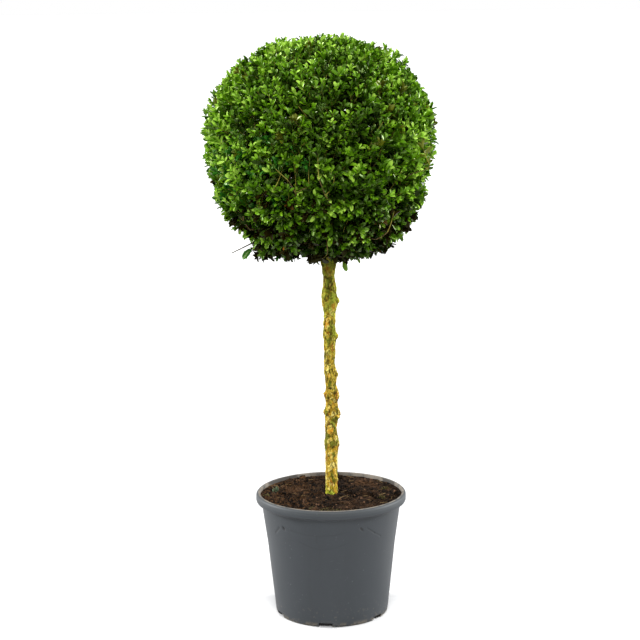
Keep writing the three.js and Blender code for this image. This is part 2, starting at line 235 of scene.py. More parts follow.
def settled(piece):
    """Works a piece's modifiers out into its own plain mesh."""
    evaluated = piece.evaluated_get(bpy.context.evaluated_depsgraph_get())
    mesh = bpy.data.meshes.new_from_object(evaluated)
    piece.modifiers.clear()
    piece.data = mesh
    return piece


def read(items, field):
    """The x, y and z of one field of all of a mesh's items."""
    values = np.empty(len(items) * 3, np.float32)
    items.foreach_get(field, values)
    return values.reshape(-1, 3).astype(float)


def points_of(mesh):
    return read(mesh.vertices, "co")


def mark(mesh, name, values, kind="FLOAT"):
    """Keeps a value for each point of a mesh, for its material or its recipe to read."""
    field = "vector" if kind == "FLOAT_VECTOR" else "value"
    number = np.int32 if kind == "INT" else np.float32
    mesh.attributes.new(name, kind, "POINT").data.foreach_set(field, values.astype(number).ravel())


def smoothed(piece, crease=40):
    """Shades a piece smooth, with edges sharper than the crease angle left crisp."""
    piece.data.shade_smooth()
    piece.data.set_sharp_from_angle(angle=math.radians(crease))
    return piece


class Wire:
    """An output of a node tree. Arithmetic on it adds Math nodes."""

    def __init__(self, wiring, socket):
        self.wiring = wiring
        self.socket = socket

    def maths(self, operation, *values):
        return self.wiring.node("ShaderNodeMath", {"operation": operation}, dict(enumerate(values)))

    def __add__(self, other):
        return self.maths("ADD", self, other)

    def __sub__(self, other):
        return self.maths("SUBTRACT", self, other)

    def __rsub__(self, other):
        return self.maths("SUBTRACT", other, self)

    def __mul__(self, other):
        return self.maths("MULTIPLY", self, other)

    def __truediv__(self, other):
        return self.maths("DIVIDE", self, other)

    def __pow__(self, other):
        return self.maths("POWER", self, other)

    __radd__ = __add__
    __rmul__ = __mul__


class Wiring:
    """A node tree being wired up. Every node but plain arithmetic comes from node()."""

    def __init__(self, tree):
        self.tree = tree

    def node(self, kind, settings=None, inputs=None, output=0):
        made = self.tree.nodes.new(kind)
        for name, value in (settings or {}).items():
            if name == "stops":
                self.set_stops(made.color_ramp, value)
            else:
                setattr(made, name, value)
        for key, value in (inputs or {}).items():
            self.feed(made.inputs[key], value)
        return Wire(self, made.outputs[output])

    def feed(self, socket, value):
        if isinstance(value, Wire):
            self.tree.links.new(value.socket, socket)
        elif socket.type == "RGBA":
            socket.default_value = (*value, 1)
        else:
            socket.default_value = value

    def set_stops(self, ramp, stops):
        for place, colour in stops[1:-1]:
            ramp.elements.new(place).color = (*colour, 1)
        for end in (0, -1):
            ramp.elements[end].position = stops[end][0]
            ramp.elements[end].color = (*stops[end][1], 1)


class Finish(Wiring):
    """A material, wired up to its Principled shader and coloured in coats over a ground."""

    def __init__(self, name, ground):
        self.material = bpy.data.materials.new(name)
        self.material.use_nodes = True
        super().__init__(self.material.node_tree)
        self.shader = self.tree.nodes["Principled BSDF"]
        self.colour = ground

    def coat(self, colour, mask, share=1):
        """A colour over what is there, where the mask lets it, no denser than its share."""
        self.colour = self.mixed(mask if share == 1 else mask * share, self.colour, colour)

    def made(self, **values):
        """The material, with its colour and these values fed to its shader."""
        sockets = {socket.name.lower().replace(" ", "_"): socket for socket in self.shader.inputs}
        for name, value in {"base_color": self.colour, **values}.items():
            self.feed(sockets[name], value)
        return self.material

    def place(self):
        return self.node("ShaderNodeTexCoord", output="Object")

    def stretched(self, scale, place=None):
        values = {"Vector": place or self.place(), "Scale": scale}
        return self.node("ShaderNodeMapping", None, values)

    def parted(self, vector):
        return [self.node("ShaderNodeSeparateXYZ", None, {0: vector}, axis) for axis in range(3)]

    def speckle(self, scale, place=None, detail=2.0, roughness=0.5):
        values = {"Vector": place or self.place(), "Scale": scale, "Detail": detail}
        return self.node("ShaderNodeTexNoise", None, {**values, "Roughness": roughness})

    def step(self, value, low, high):
        """0 below low, 1 above high, and a smooth rise between."""
        settings = {"interpolation_type": "SMOOTHSTEP"}
        return self.node("ShaderNodeMapRange", settings, {0: value, 1: low, 2: high})

    def specks(self, scale, low, high, place=None, **grain):
        """A mask of specks of a noise: none below low, full above high."""
        return self.step(self.speckle(scale, place, **grain), low, high)

    def attribute(self, name):
        return self.node("ShaderNodeAttribute", {"attribute_name": name}, output="Fac")

    def mixed(self, factor, first, second):
        values = {0: factor, 6: first, 7: second}
        return self.node("ShaderNodeMix", {"data_type": "RGBA"}, values, output=2)

    def bumped(self, height, strength, distance, under=None):
        values = {"Height": height, "Strength": strength, "Distance": distance}
        if under:
            values["Normal"] = under
        return self.node("ShaderNodeBump", None, values)


POT_GREY = (0.0220, 0.0275, 0.0335)
POT_PALE = (0.0265, 0.0325, 0.0385)
POT_DARK = (0.006, 0.007, 0.008)
POT_SCUFF = (0.10, 0.11, 0.115)
POT_RIM_HIGHLIGHT = (0.043, 0.050, 0.055)
POT_RIM_DUST = (0.34, 0.29, 0.23)
POT_SMUDGE = (0.030, 0.026, 0.022)
POT_FOOT_DIRT = (0.20, 0.17, 0.12)
POT_ALGAE = (0.075, 0.10, 0.045)
POT_SHEEN = 0.63
POT_SPLASHED = [(0.36, 0.86), (2.02, 2.75)]


def pot_finish():
    """Slate plastic, dusty at the mouth and splashed with soil at the foot, with a painted
    highlight round the rim and painted shade in its moulded marks and under the rim.
    """
    finish = Finish("pot_plastic", POT_GREY)
    east, north, height = finish.parted(finish.place())
    radius = (east * east + north * north) ** 0.5

    def near_rim(low, high):
        """0 from low millimetres under the rim's top downwards, 1 from high millimetres upwards."""
        return finish.step(height, POT_HEIGHT - low * MM, POT_HEIGHT - high * MM)

    cloud = finish.speckle(9, detail=3)
    finish.coat(POT_PALE, finish.step(cloud, 0.35, 0.7))
    streaks = finish.specks(1, 0.5, 0.75, finish.stretched((70, 70, 5)), detail=3)
    finish.coat(POT_DARK, streaks, share=0.12)
    # A painted highlight on the rim's rounded top and upper face.
    finish.coat(POT_RIM_HIGHLIGHT, near_rim(12, 7))
    # Painted shade in the moulded pits, grooves and creases.
    finish.coat(POT_DARK, finish.attribute("pressed"))
    specks = finish.specks(170, 0.69, 0.78) * finish.specks(20, 0.45, 0.62)
    finish.coat(POT_SCUFF, specks, share=0.7)
    scratches = finish.specks(1, 0.70, 0.76, finish.stretched((60, 60, 420)))
    finish.coat(POT_SCUFF, scratches * finish.specks(14, 0.48, 0.6), share=0.45)
    worn = near_rim(5, 0) * finish.specks(55, 0.35, 0.6, detail=4)
    finish.coat(POT_SCUFF, worn, share=0.25)
    above_soil = near_rim(16, 9)
    mouth = (1 - finish.step(radius, COLLAR_RADIUS + 1.2 * MM, COLLAR_RADIUS + 3 * MM)) * above_soil
    dust = mouth * finish.specks(60, 0.28, 0.58, detail=5, roughness=0.7)
    finish.coat(POT_RIM_DUST, dust, share=0.7)
    inside = (1 - finish.step(radius, COLLAR_RADIUS - 1 * MM, COLLAR_RADIUS)) * above_soil
    around = north.maths("ARCTAN2", north, east) + (finish.speckle(60, detail=4) - 0.5) * 0.5
    for start, end in POT_SPLASHED:
        after, past = finish.step(around, start, start + 0.1), finish.step(around, end - 0.1, end)
        finish.coat(POT_SMUDGE, inside * (after * (1 - past)), share=0.85)
    skirt_low = POT_HEIGHT - RIM_SKIRT
    # A painted shadow line along the underside of the rim's curl.
    rim_shadow_line = 1 - finish.step(height, skirt_low + 1 * MM, skirt_low + 2.6 * MM)
    under_skirt = finish.step(height, COLLAR_TOP - 9 * MM, COLLAR_TOP - 5 * MM)
    finish.coat(POT_DARK, rim_shadow_line * under_skirt, share=0.85)
    grime = finish.speckle(90, detail=6, roughness=0.7)
    foot = 1 - finish.step(height, 1 * MM, 12 * MM)
    finish.coat(POT_FOOT_DIRT, foot * finish.step(grime, 0.46, 0.56), share=0.85)
    low = 1 - finish.step(height, 5 * MM, 60 * MM)
    finish.coat(POT_FOOT_DIRT, low * finish.specks(150, 0.58, 0.72, detail=4), share=0.3)
    algae = near_rim(20, 12) * finish.step(grime, 0.62, 0.75)
    finish.coat(POT_ALGAE, algae, share=0.5)
    dents = finish.bumped(finish.speckle(40), 0.25, 0.6 * MM)
    return finish.made(
        roughness=0.52 + cloud * 0.14 + dust * 0.25,
        normal=finish.bumped(finish.speckle(1400), 0.35, 0.12 * MM, dents),
        specular_ior_level=POT_SHEEN,
    )


def drain_cutter():
    """A block across the wall's foot for each drainage notch, its two upper corners cut off."""
    half = DRAIN_WIDTH / 2
    outline = [(-half, -DRAIN_HEIGHT), (half, -DRAIN_HEIGHT), (half, DRAIN_HEIGHT - DRAIN_CORNER),
               (half - DRAIN_CORNER, DRAIN_HEIGHT), (DRAIN_CORNER - half, DRAIN_HEIGHT),
               (-half, DRAIN_HEIGHT - DRAIN_CORNER)]
    count = len(outline)
    outer = FOOT_RADIUS + 2 * FOOT_ROUNDING
    corners = []
    sides = []
    for drain in range(DRAIN_COUNT):
        turn = math.radians(DRAIN_FIRST_ANGLE + drain * 360 / DRAIN_COUNT)
        out = np.array([math.cos(turn), math.sin(turn), 0])
        across = np.array([-math.sin(turn), math.cos(turn), 0])
        first = len(corners)
        for reach in (outer - DRAIN_DEPTH, outer):
            corners += [tuple(out * reach + across * side + (0, 0, up)) for side, up in outline]
        sides.append(tuple(first + i for i in reversed(range(count))))
        sides.append(tuple(first + count + i for i in range(count)))
        for i in range(count):
            beside = (i + 1) % count
            sides.append((first + i, first + beside, first + count + beside, first + count + i))
    return new_piece("drain_cutter", corners, sides)


def pot_piece():
    """The turned shell with its drains cut out, with painted shade in the moulded marks."""
    front, back = FRONT_ARC[1] - FRONT_ARC[0], 360 - FRONT_ARC[1] + FRONT_ARC[0]
    angles = np.concatenate([
        np.linspace(FRONT_ARC[0], FRONT_ARC[1], round(front / FRONT_COLUMN), endpoint=False),
        np.linspace(FRONT_ARC[1], FRONT_ARC[0] + 360, round(back / PLAIN_COLUMN), endpoint=False),
    ])

    def shift(row, turn, radius, height):
        marked = (height > MARK_BAND[0]) & (height < MARK_BAND[1])
        on_wall = marked & (np.abs(radius - wall_radius(height)) < MM / 10)
        return np.where(on_wall, moulded_relief(turn, height), 0), 0

    pot = turned("pot_shell", pot_profile(), angles, shift)
    cutter = drain_cutter()
    cut = pot.modifiers.new("drains", "BOOLEAN")
    cut.operation = "DIFFERENCE"
    cut.solver = "EXACT"
    cut.object = cutter
    settled(pot)
    bpy.data.objects.remove(cutter)
    smoothed(pot)
    places = points_of(pot.data)
    turns = np.degrees(np.arctan2(places[:, 1], places[:, 0])) % 360
    outer = np.hypot(places[:, 0], places[:, 1]) > wall_radius(places[:, 2]) - 2 * WALL_THICKNESS
    # Painted shade in each moulded mark, darker the deeper the mark.
    pressed = np.clip(-moulded_relief(turns, places[:, 2]) / MARK_SHADE_DEPTH, 0, 1)
    mark(pot.data, "pressed", pressed * outer)
    pot.data.materials.clear()
    pot.data.materials.append(pot_finish())
    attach(pot, "root")
    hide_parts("pot")


pot_piece()

# ----------------------------------------------------------------------------------------------
# The compost: dark peaty potting soil, filled to a finger's width under the rim and watered in.
# Its top is lumps and crumbs, with coir fibres and bits of bark in it, and a little moss and a
# few seedlings grow on it near the wall.

SOIL_GAP = 0.3 * MM
SOIL_CORNER = 16 * MM
SOIL_EDGE_HEIGHT = 228.5 * MM
SOIL_TRUNK_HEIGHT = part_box("soil")[1].z
SOIL_RING = 2.4 * MM
SOIL_FIRST_RING = 4 * MM
SOIL_COLUMNS = 200
SOIL_SWELL = 0.7 * MM
SOIL_CLOD = 3.0 * MM
LUMP_SCALE = 42
CLOD_SCALE = 105
SOIL_SHEEN = 0.12

SOIL_DARK = (0.003, 0.002, 0.001)
SOIL_CRUMB = (0.008, 0.004, 0.002)
SOIL_BROWN = (0.027, 0.014, 0.007)
SOIL_LIGHT = (0.105, 0.054, 0.026)
SOIL_DRY = (0.135, 0.064, 0.025)

# Each patch of green: x and y of its middle and its reach in millimetres, and its blades.
MOSS_PATCHES = [(-9, -115, 12, 120), (12, -119, 10, 80), (-34, -104, 8, 40), (93, -30, 11, 70),
                (104, 32, 8, 40), (-122, -8, 8, 40)]
SEEDLINGS = [(-107, 24, 6, 14)]

# What is strewn: name, shape, how many on a square metre, its two sizes in millimetres, and seed.
# A crumb's sizes are its smallest and largest width, and a fibre's its length and thickness.
STREWN = [
    ("clods", "lump", 4600.0, 2.0, 8.2, 3),
    ("crumbs_dark", "crumb", 26000.0, 0.9, 2.9, 4),
    ("crumbs_brown", "crumb", 17000.0, 0.9, 3.2, 5),
    ("bark_chips", "crumb", 3000.0, 0.9, 3.6, 6),
    ("coir_fibres", "fibre", 5200.0, 15, 0.36, 7),
    ("root_fibres", "fibre", 800.0, 24, 0.45, 8),
]


class Recipe(Wiring):
    """A Geometry Nodes tree with named inputs."""

    def __init__(self, name):
        super().__init__(bpy.data.node_groups.new(name, "GeometryNodeTree"))
        for side in ("INPUT", "OUTPUT"):
            self.socket("Geometry", side, "Geometry")
        self.entry = self.tree.nodes.new("NodeGroupInput")
        self.exit = self.tree.nodes.new("NodeGroupOutput")

    def socket(self, name, side, kind):
        self.tree.interface.new_socket(name, in_out=side, socket_type=f"NodeSocket{kind}")

    def start(self):
        return Wire(self, self.entry.outputs["Geometry"])

    def size(self, name, kind="Float"):
        self.socket(name, "INPUT", kind)
        return Wire(self, self.entry.outputs[name])

    def attribute(self, name, kind="FLOAT"):
        return self.node("GeometryNodeInputNamedAttribute", {"data_type": kind}, {"Name": name})

    def between(self, low, high, seed):
        values = {2: low, 3: high, "Seed": seed}
        return self.node("FunctionNodeRandomValue", {"data_type": "FLOAT"}, values, output=1)

    def vector(self, x, y, z):
        return self.node("ShaderNodeCombineXYZ", None, {0: x, 1: y, 2: z})

    def turned_any_way(self, seed, tilt=math.pi):
        angles = self.vector(self.between(-tilt, tilt, seed), self.between(-tilt, tilt, seed + 1),
                             self.between(-math.pi, math.pi, seed + 2))
        return self.node("FunctionNodeEulerToRotation", None, {0: angles})

    def ruffled(self, geometry, scale, reach):
        """Every point moved by a noise, so that no two copies stay alike."""
        grain = {"Scale": scale, "Detail": 2.0}
        colour = self.node("ShaderNodeTexNoise", None, grain, output="Color")
        values = {0: colour, 1: (0.5, 0.5, 0.5)}
        centred = self.node("ShaderNodeVectorMath", {"operation": "SUBTRACT"}, values)
        offset = self.scaled(centred, reach)
        return self.node("GeometryNodeSetPosition", None, {"Geometry": geometry, "Offset": offset})

    def scaled(self, vector, size):
        return self.node("ShaderNodeVectorMath", {"operation": "SCALE"}, {0: vector, "Scale": size})

    def copied(self, shape, spots, turn, scale, **picked):
        """A shape set at every spot, turned and scaled there, and made real."""
        inputs = {"Points": spots, "Instance": shape, "Rotation": turn, "Scale": scale}
        for name, value in picked.items():
            inputs[name.replace("_", " ").title()] = value
        return self.real(self.node("GeometryNodeInstanceOnPoints", None, inputs))

    def tube(self, curve, sides, radius, **scale):
        """A closed tube round a curve, of one radius or scaled along it."""
        ring = {"Resolution": sides, "Radius": radius}
        section = self.node("GeometryNodeCurvePrimitiveCircle", None, ring)
        inputs = {"Curve": curve, "Profile Curve": section, "Fill Caps": True, **scale}
        return self.node("GeometryNodeCurveToMesh", None, inputs)

    def real(self, geometry):
        return self.node("GeometryNodeRealizeInstances", None, {0: geometry})

    def painted(self, geometry, material, chosen=True):
        values = {0: geometry, 1: chosen, "Material": material}
        return self.node("GeometryNodeSetMaterial", None, values)

    def finish(self, geometry):
        self.tree.links.new(geometry.socket, self.exit.inputs["Geometry"])


def grown(name, mesh, recipe, sizes):
    """A new piece: a starting mesh put through a recipe with these sizes, as a plain mesh."""
    piece = placed(name, mesh)
    modifier = piece.modifiers.new("growth", "NODES")
    modifier.node_group = recipe.tree
    for item in recipe.tree.interface.items_tree:
        if item.in_out == "INPUT" and item.name in sizes:
            modifier[item.identifier] = sizes[item.name]
    return settled(piece)


def lumpy(x, y, z=0.0):
    """Height of the compost's clods at a place, from about -1 to 1."""
    place = Vector((x, y, z))
    coarse = noise.noise(place * LUMP_SCALE)
    clods = noise.fractal(place * CLOD_SCALE, 0.7, 2.2, 4)
    return 0.8 * coarse + 0.85 * clods


def soil_profile():
    """The section from the axis at its foot, up the pot's inside and over its top to the axis."""
    inner = WALL_THICKNESS + SOIL_GAP
    edge = COLLAR_RADIUS - inner
    rings = round((edge - SOIL_FIRST_RING) / SOIL_RING)
    top = [(radius, SOIL_EDGE_HEIGHT) for radius in np.linspace(edge, SOIL_FIRST_RING, rings)]
    base = [
        *((radius, FLOOR_THICKNESS + SOIL_GAP) for radius in (0, 40 * MM, 80 * MM)),
        (wall_radius(SOIL_CORNER) - inner, SOIL_CORNER),
        (WALL_BEND_RADIUS - inner, WALL_BEND),
        (WALL_TOP_RADIUS - inner, WALL_TOP - 1 * MM),
        (edge, COLLAR_TOP + 0.5 * MM),
    ]
    return base + top + [(0, SOIL_TRUNK_HEIGHT)], len(base) - 1


def soil_finish(name, tint, contrast):
    """Dark peat with crumbs of one tint, drier and paler to the left."""
    finish = Finish(name, SOIL_DARK)
    crumb = finish.speckle(170, detail=6, roughness=0.7)
    patch = finish.speckle(28, detail=3)
    east = finish.parted(finish.place())[0]
    dry = 1 - finish.step(east + (patch - 0.5) * 0.12, -70 * MM, 10 * MM)
    finish.coat(tint, finish.step(crumb, 0.42, 0.62))
    finish.coat(SOIL_DRY, finish.step(crumb, 0.50, 0.59) * dry, share=0.7)
    finish.coat(SOIL_LIGHT, finish.step(patch, 0.5, 0.72), share=contrast)
    return finish.made(
        roughness=0.86 + crumb * 0.12,
        normal=finish.bumped(finish.speckle(420, detail=5, roughness=0.7), 0.8, 0.9 * MM),
        specular_ior_level=SOIL_SHEEN,
    )


def plain_finish(name, colour, roughness, mottle, scale=300, sheen=SOIL_SHEEN):
    """One colour with a little light and dark in it, for small things."""
    finish = Finish(name, [part * (1 - mottle) for part in colour])
    finish.coat([min(1, part * (1 + mottle)) for part in colour], finish.speckle(scale, detail=3))
    return finish.made(roughness=roughness, specular_ior_level=sheen)


def crumb(recipe, sizes, facets):
    """A lump of any width from the smallest to the largest, and less the other two ways."""
    small, large = sizes
    lump = recipe.node("GeometryNodeMeshIcoSphere", None, {"Radius": 1.0, "Subdivisions": facets})
    width = recipe.between(0.0, 1.0, 11) ** 2.2 * (large - small) + small
    length, height = width * recipe.between(0.55, 1.0, 12), width * recipe.between(0.4, 0.85, 13)
    scale = recipe.vector(width, length, height)
    return lump, recipe.turned_any_way(14), scale, 260.0, large * 1.4


def fibre(recipe, sizes):
    """A short bent strand that lies almost flat."""
    length, thickness = sizes
    bow = {"Start": (-0.5, 0.0, 0.0), "Middle": (0.05, 0.3, 0.18), "End": (0.5, 0.0, 0.0)}
    bend = recipe.node("GeometryNodeCurveQuadraticBezier", None, {"Resolution": 6, **bow})
    strand = recipe.tube(bend, 4, thickness / length)
    long = length * recipe.between(0.35, 1.0, 21)
    scale = recipe.vector(long, long * recipe.between(0.3, 1.6, 25), long)
    return strand, recipe.turned_any_way(22, 0.35), scale, 90.0, length * 0.22


def strewn(name, shape, count, first, second, seed, ground, material):
    """Copies of a shape strewn over a piece of ground, each ruffled into a shape of its own."""
    recipe = Recipe(name)
    density, number = recipe.size("Per square metre"), recipe.size("Seed", "Int")
    names = ("Length", "Thickness") if shape == "fibre" else ("Smallest", "Largest")
    sizes = [recipe.size(size) for size in names]
    spots = recipe.node("GeometryNodeDistributePointsOnFaces", {"distribute_method": "RANDOM"},
                        {"Mesh": recipe.start(), "Density": density, "Seed": number})
    if shape == "fibre":
        copy, turn, scale, grain, reach = fibre(recipe, sizes)
    else:
        copy, turn, scale, grain, reach = crumb(recipe, sizes, 2 if shape == "lump" else 1)
    rough = recipe.ruffled(recipe.copied(copy, spots, turn, scale), grain, reach)
    recipe.finish(recipe.painted(rough, material))
    return grown(name, ground, recipe, {
        "Per square metre": count, names[0]: first * MM, names[1]: second * MM, "Seed": seed})


def tufts(name, patches, length, width, tint, seed):
    """Little upright blades in clumps on the compost: each is a bent strip that ends in a point."""
    draw = np.random.default_rng(seed)
    vertices = []
    faces = []
    for middle_x, middle_y, reach, blades in patches:
        for _ in range(blades):
            turn, lie = draw.uniform(0, 2 * math.pi, 2)
            away = reach * MM * math.sqrt(draw.random()) * 0.9
            x = middle_x * MM + away * math.cos(turn)
            y = middle_y * MM + away * math.sin(turn)
            foot = Vector((x, y, SOIL_EDGE_HEIGHT - 1 * MM + SOIL_CLOD * 0.5 * lumpy(x, y)))
            out = Vector((math.cos(lie), math.sin(lie), 0))
            side = Vector((-out.y, out.x, 0)) * width * draw.uniform(0.7, 1.2) / 2
            tall = length * draw.uniform(0.6, 1.2)
            first = len(vertices)
            for share, lean, half in ((0, 0, 0.4), (0.45, 0.22, 1), (0.8, 0.6, 0.8), (1, 1, 0)):
                middle = foot + Vector((0, 0, tall * share))
                middle += out * tall * lean * draw.uniform(0.3, 0.8)
                vertices += [middle - side * half, middle + side * half] if half else [middle]
            faces += [(first + i, first + i + 1, first + i + 3, first + i + 2) for i in (0, 2)]
            faces.append((first + 4, first + 5, first + 6))
    piece = new_piece(name, vertices, faces)
    piece.data.materials.append(plain_finish(name + "_green", tint, 0.6, 0.45, 200, 0.3))
    return piece


def soil_cap(soil, first, last, reach):
    """The mesh of the compost's top within reach of the axis, for crumbs to be strewn on."""
    spots = [tuple(vertex.co) for vertex in soil.data.vertices[first:last]]
    faces = [tuple(v - first for v in face.vertices) for face in soil.data.polygons
             if all(first <= v < last for v in face.vertices)]
    faces = [face for face in faces if math.hypot(*spots[face[0]][:2]) < reach]
    cap = new_piece("cap", spots, faces)
    ground = cap.data
    bpy.data.objects.remove(cap)
    return ground


def soil_pieces():
    """The compost, what is strewn on it, and what grows in it."""
    profile, first_top = soil_profile()

    def shift(row, turn, radius, height):
        east = radius * np.cos(np.radians(turn))
        north = radius * np.sin(np.radians(turn))
        up = np.zeros_like(radius)
        for i in np.flatnonzero(row >= first_top):
            lump = lumpy(east[i], north[i])
            level = 1 - min(1, radius[i] / (COLLAR_RADIUS - 12 * MM))
            rise = (SOIL_TRUNK_HEIGHT - SOIL_EDGE_HEIGHT) * level
            fade = min(1, (profile[first_top][0] - radius[i]) / (5 * MM) + 0.4)
            up[i] = rise + fade * (SOIL_CLOD * lump + SOIL_SWELL * math.sin(9 * east[i] / 0.1 + 2))
        return 0, up

    angles = np.linspace(0, 360, SOIL_COLUMNS, endpoint=False)
    soil = turned("compost", profile, angles, shift)
    smoothed(soil, 80)
    soil.data.materials.append(soil_finish("compost_ground", SOIL_BROWN, 0.5))
    last = len(soil.data.vertices) - 2
    ground = soil_cap(soil, first_top * SOIL_COLUMNS, last, profile[first_top][0] - 2.5 * MM)
    looks = [
        soil_finish("clod_brown", SOIL_BROWN, 0.8),
        soil_finish("crumb_dark", SOIL_CRUMB, 0.2),
        plain_finish("crumb_brown", (0.052, 0.027, 0.013), 0.9, 0.6),
        plain_finish("bark_chip", (0.15, 0.080, 0.045), 0.85, 0.6),
        plain_finish("coir", (0.100, 0.058, 0.028), 0.8, 0.4),
        plain_finish("rootlet", (0.27, 0.18, 0.080), 0.8, 0.4),
    ]
    strewn_pieces = [strewn(*row, ground, look) for row, look in zip(STREWN, looks)]
    greens = [
        tufts("moss", MOSS_PATCHES, 4.5 * MM, 1.3 * MM, (0.085, 0.070, 0.012), 9),
        tufts("seedlings", SEEDLINGS, 8 * MM, 4.2 * MM, (0.10, 0.14, 0.075), 10),
    ]
    for piece in [soil] + strewn_pieces + greens:
        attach(piece, "root")
    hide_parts("soil")
    bpy.data.meshes.remove(ground)


soil_pieces()

# ----------------------------------------------------------------------------------------------
# The trunk and its five boughs, of one living wood. The bark is thin, flaky and furred with pale
# green lichen over ochre, and knobbly where side shoots were pruned off: each cut healed into a
# raised lip round an almond of bare wood, or left a short stub.

TRUNK_NODES = ["trunk", "bough_leader", "bough_right", "bough_back", "bough_left", "bough_front"]
BARK_GRAIN = 1.1 * MM
PLATE_WIDTH = 5.2 * MM
PLATE_TALL = 8.5 * MM
PLATE_RISE = 1.0 * MM
FLAKE_RISE = 0.75 * MM
CRACK_DEPTH = 0.9 * MM
CRACK_WIDTH = 0.22
WANDER_SEED = 20
WANDER_SCALE = 160
WANDER_REACH = 0.45
FLAKE_SCALE = (210, 130)
HASH_WAY = Vector((12.9898, 78.233, 37.719))
HASH_SPREAD = 43758.5453
TRUNK_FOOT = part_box("trunk")[0].z
TRUNK_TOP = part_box("trunk")[1].z
TRUNK_REACH = 24 * MM
BARK_FOOT_BAND = (230 * MM, 254 * MM)
BARK_LOW_BAND = (300 * MM, 420 * MM)
BARK_HIGH_BAND = (430 * MM, 640 * MM)

# The pruning scars: sizes in millimetres and angles in degrees, the last eight of them behind.
Scar = namedtuple("Scar", "kind height angle tall wide reach")
SCARS = [Scar(*row) for row in (
    ("stub", 603, 343, 9, 5, 3.2),
    ("ochre", 591, 308, 11, 6.5, 0.9),
    ("bare", 560, 243, 13, 5.6, 1.5),
    ("ochre", 561, 196, 7, 3, 0.8),
    ("ochre", 539, 238, 6, 3.4, 0.8),
    ("hollow", 541, 279, 4, 2.4, 1.0),
    ("stub", 534, 350, 6, 3.4, 2.6),
    ("hollow", 499, 226, 4, 2.2, 0.8),
    ("ochre", 496, 283, 6, 3.6, 0.8),
    ("bare", 475, 250, 8, 4.6, 1.2),
    ("bare", 463, 256, 8, 4.2, 1.0),
    ("stub", 462, 346, 7, 3.6, 2.2),
    ("hollow", 436, 262, 3, 6, 1.5),
    ("stub", 424, 188, 4, 3, 3.4),
    ("ochre", 420, 338, 9, 4.4, 1.2),
    ("bare", 400, 248, 5, 3.4, 0.8),
    ("bare", 384, 334, 7, 4.6, 1.6),
    ("stub", 388, 186, 5, 3, 2.2),
    ("bare", 358, 259, 12, 8.2, 1.9),
    ("ochre", 336, 262, 5, 5, 0.9),
    ("hollow", 327, 344, 7, 3.2, 1.3),
    ("hollow", 322, 194, 5, 3.2, 1.1),
    ("ochre", 304, 268, 15, 4.6, 0.9),
    ("ochre", 272, 296, 14, 4.4, 0.7),
    ("bare", 585, 95, 11, 5.4, 1.5),
    ("ochre", 548, 130, 8, 4.2, 0.9),
    ("stub", 515, 60, 6, 3.8, 2.6),
    ("bare", 470, 110, 9, 5.2, 1.4),
    ("ochre", 432, 75, 9, 4.6, 0.9),
    ("bare", 372, 92, 11, 6.4, 1.7),
    ("stub", 340, 128, 6, 3.6, 2.4),
    ("ochre", 296, 70, 12, 4.6, 0.9),
)]


def merged_copy(name, nodes):
    """One mesh of several CAD nodes, each closed up again, as a new piece."""
    vertices = []
    faces = []
    for node in nodes:
        known = {}
        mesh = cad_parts[node].data
        numbers = []
        for vertex in mesh.vertices:
            key = tuple(round(part, 6) for part in vertex.co)
            if key not in known:
                known[key] = len(vertices)
                vertices.append(key)
            numbers.append(known[key])
        for face in mesh.polygons:
            corners = tuple(numbers[v] for v in face.vertices)
            if len(set(corners)) == len(corners):
                faces.append(corners)
    return new_piece(name, vertices, faces)


def trunk_line():
    """The trunk's middle at its rings: heights, and the x and y there."""
    places = points_of(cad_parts["trunk"].data)
    heights = np.unique(np.round(places[:, 2], 4))
    rings = [places[np.abs(places[:, 2] - height) < 5 * MM] for height in heights]
    return heights, np.array([ring[:, :2].mean(axis=0) for ring in rings])


def flaky(places):
    """Rise, plate number and crack at each place of the bark: thin plates with cracks between."""
    noise.seed_set(WANDER_SEED)
    across, upward = FLAKE_SCALE
    lift, plate, crack = np.zeros((3, len(places)))
    for i, (x, y, z) in enumerate(places):
        wander = noise.noise_vector(Vector((x, y, z)) * WANDER_SCALE) * WANDER_REACH
        spot = Vector((x / PLATE_WIDTH, y / PLATE_WIDTH, z / PLATE_TALL)) + wander
        near, cells = noise.voronoi(spot)
        flakes = noise.fractal(Vector((x * across, y * across, z * upward)), 0.7, 2.2, 4)
        plate[i] = math.sin(cells[0].dot(HASH_WAY)) * HASH_SPREAD % 1
        crack[i] = max(0, 1 - (near[1] - near[0]) / CRACK_WIDTH)
        lift[i] = FLAKE_RISE * flakes + PLATE_RISE * (plate[i] - 0.5) - CRACK_DEPTH * crack[i]
    return lift, plate, crack


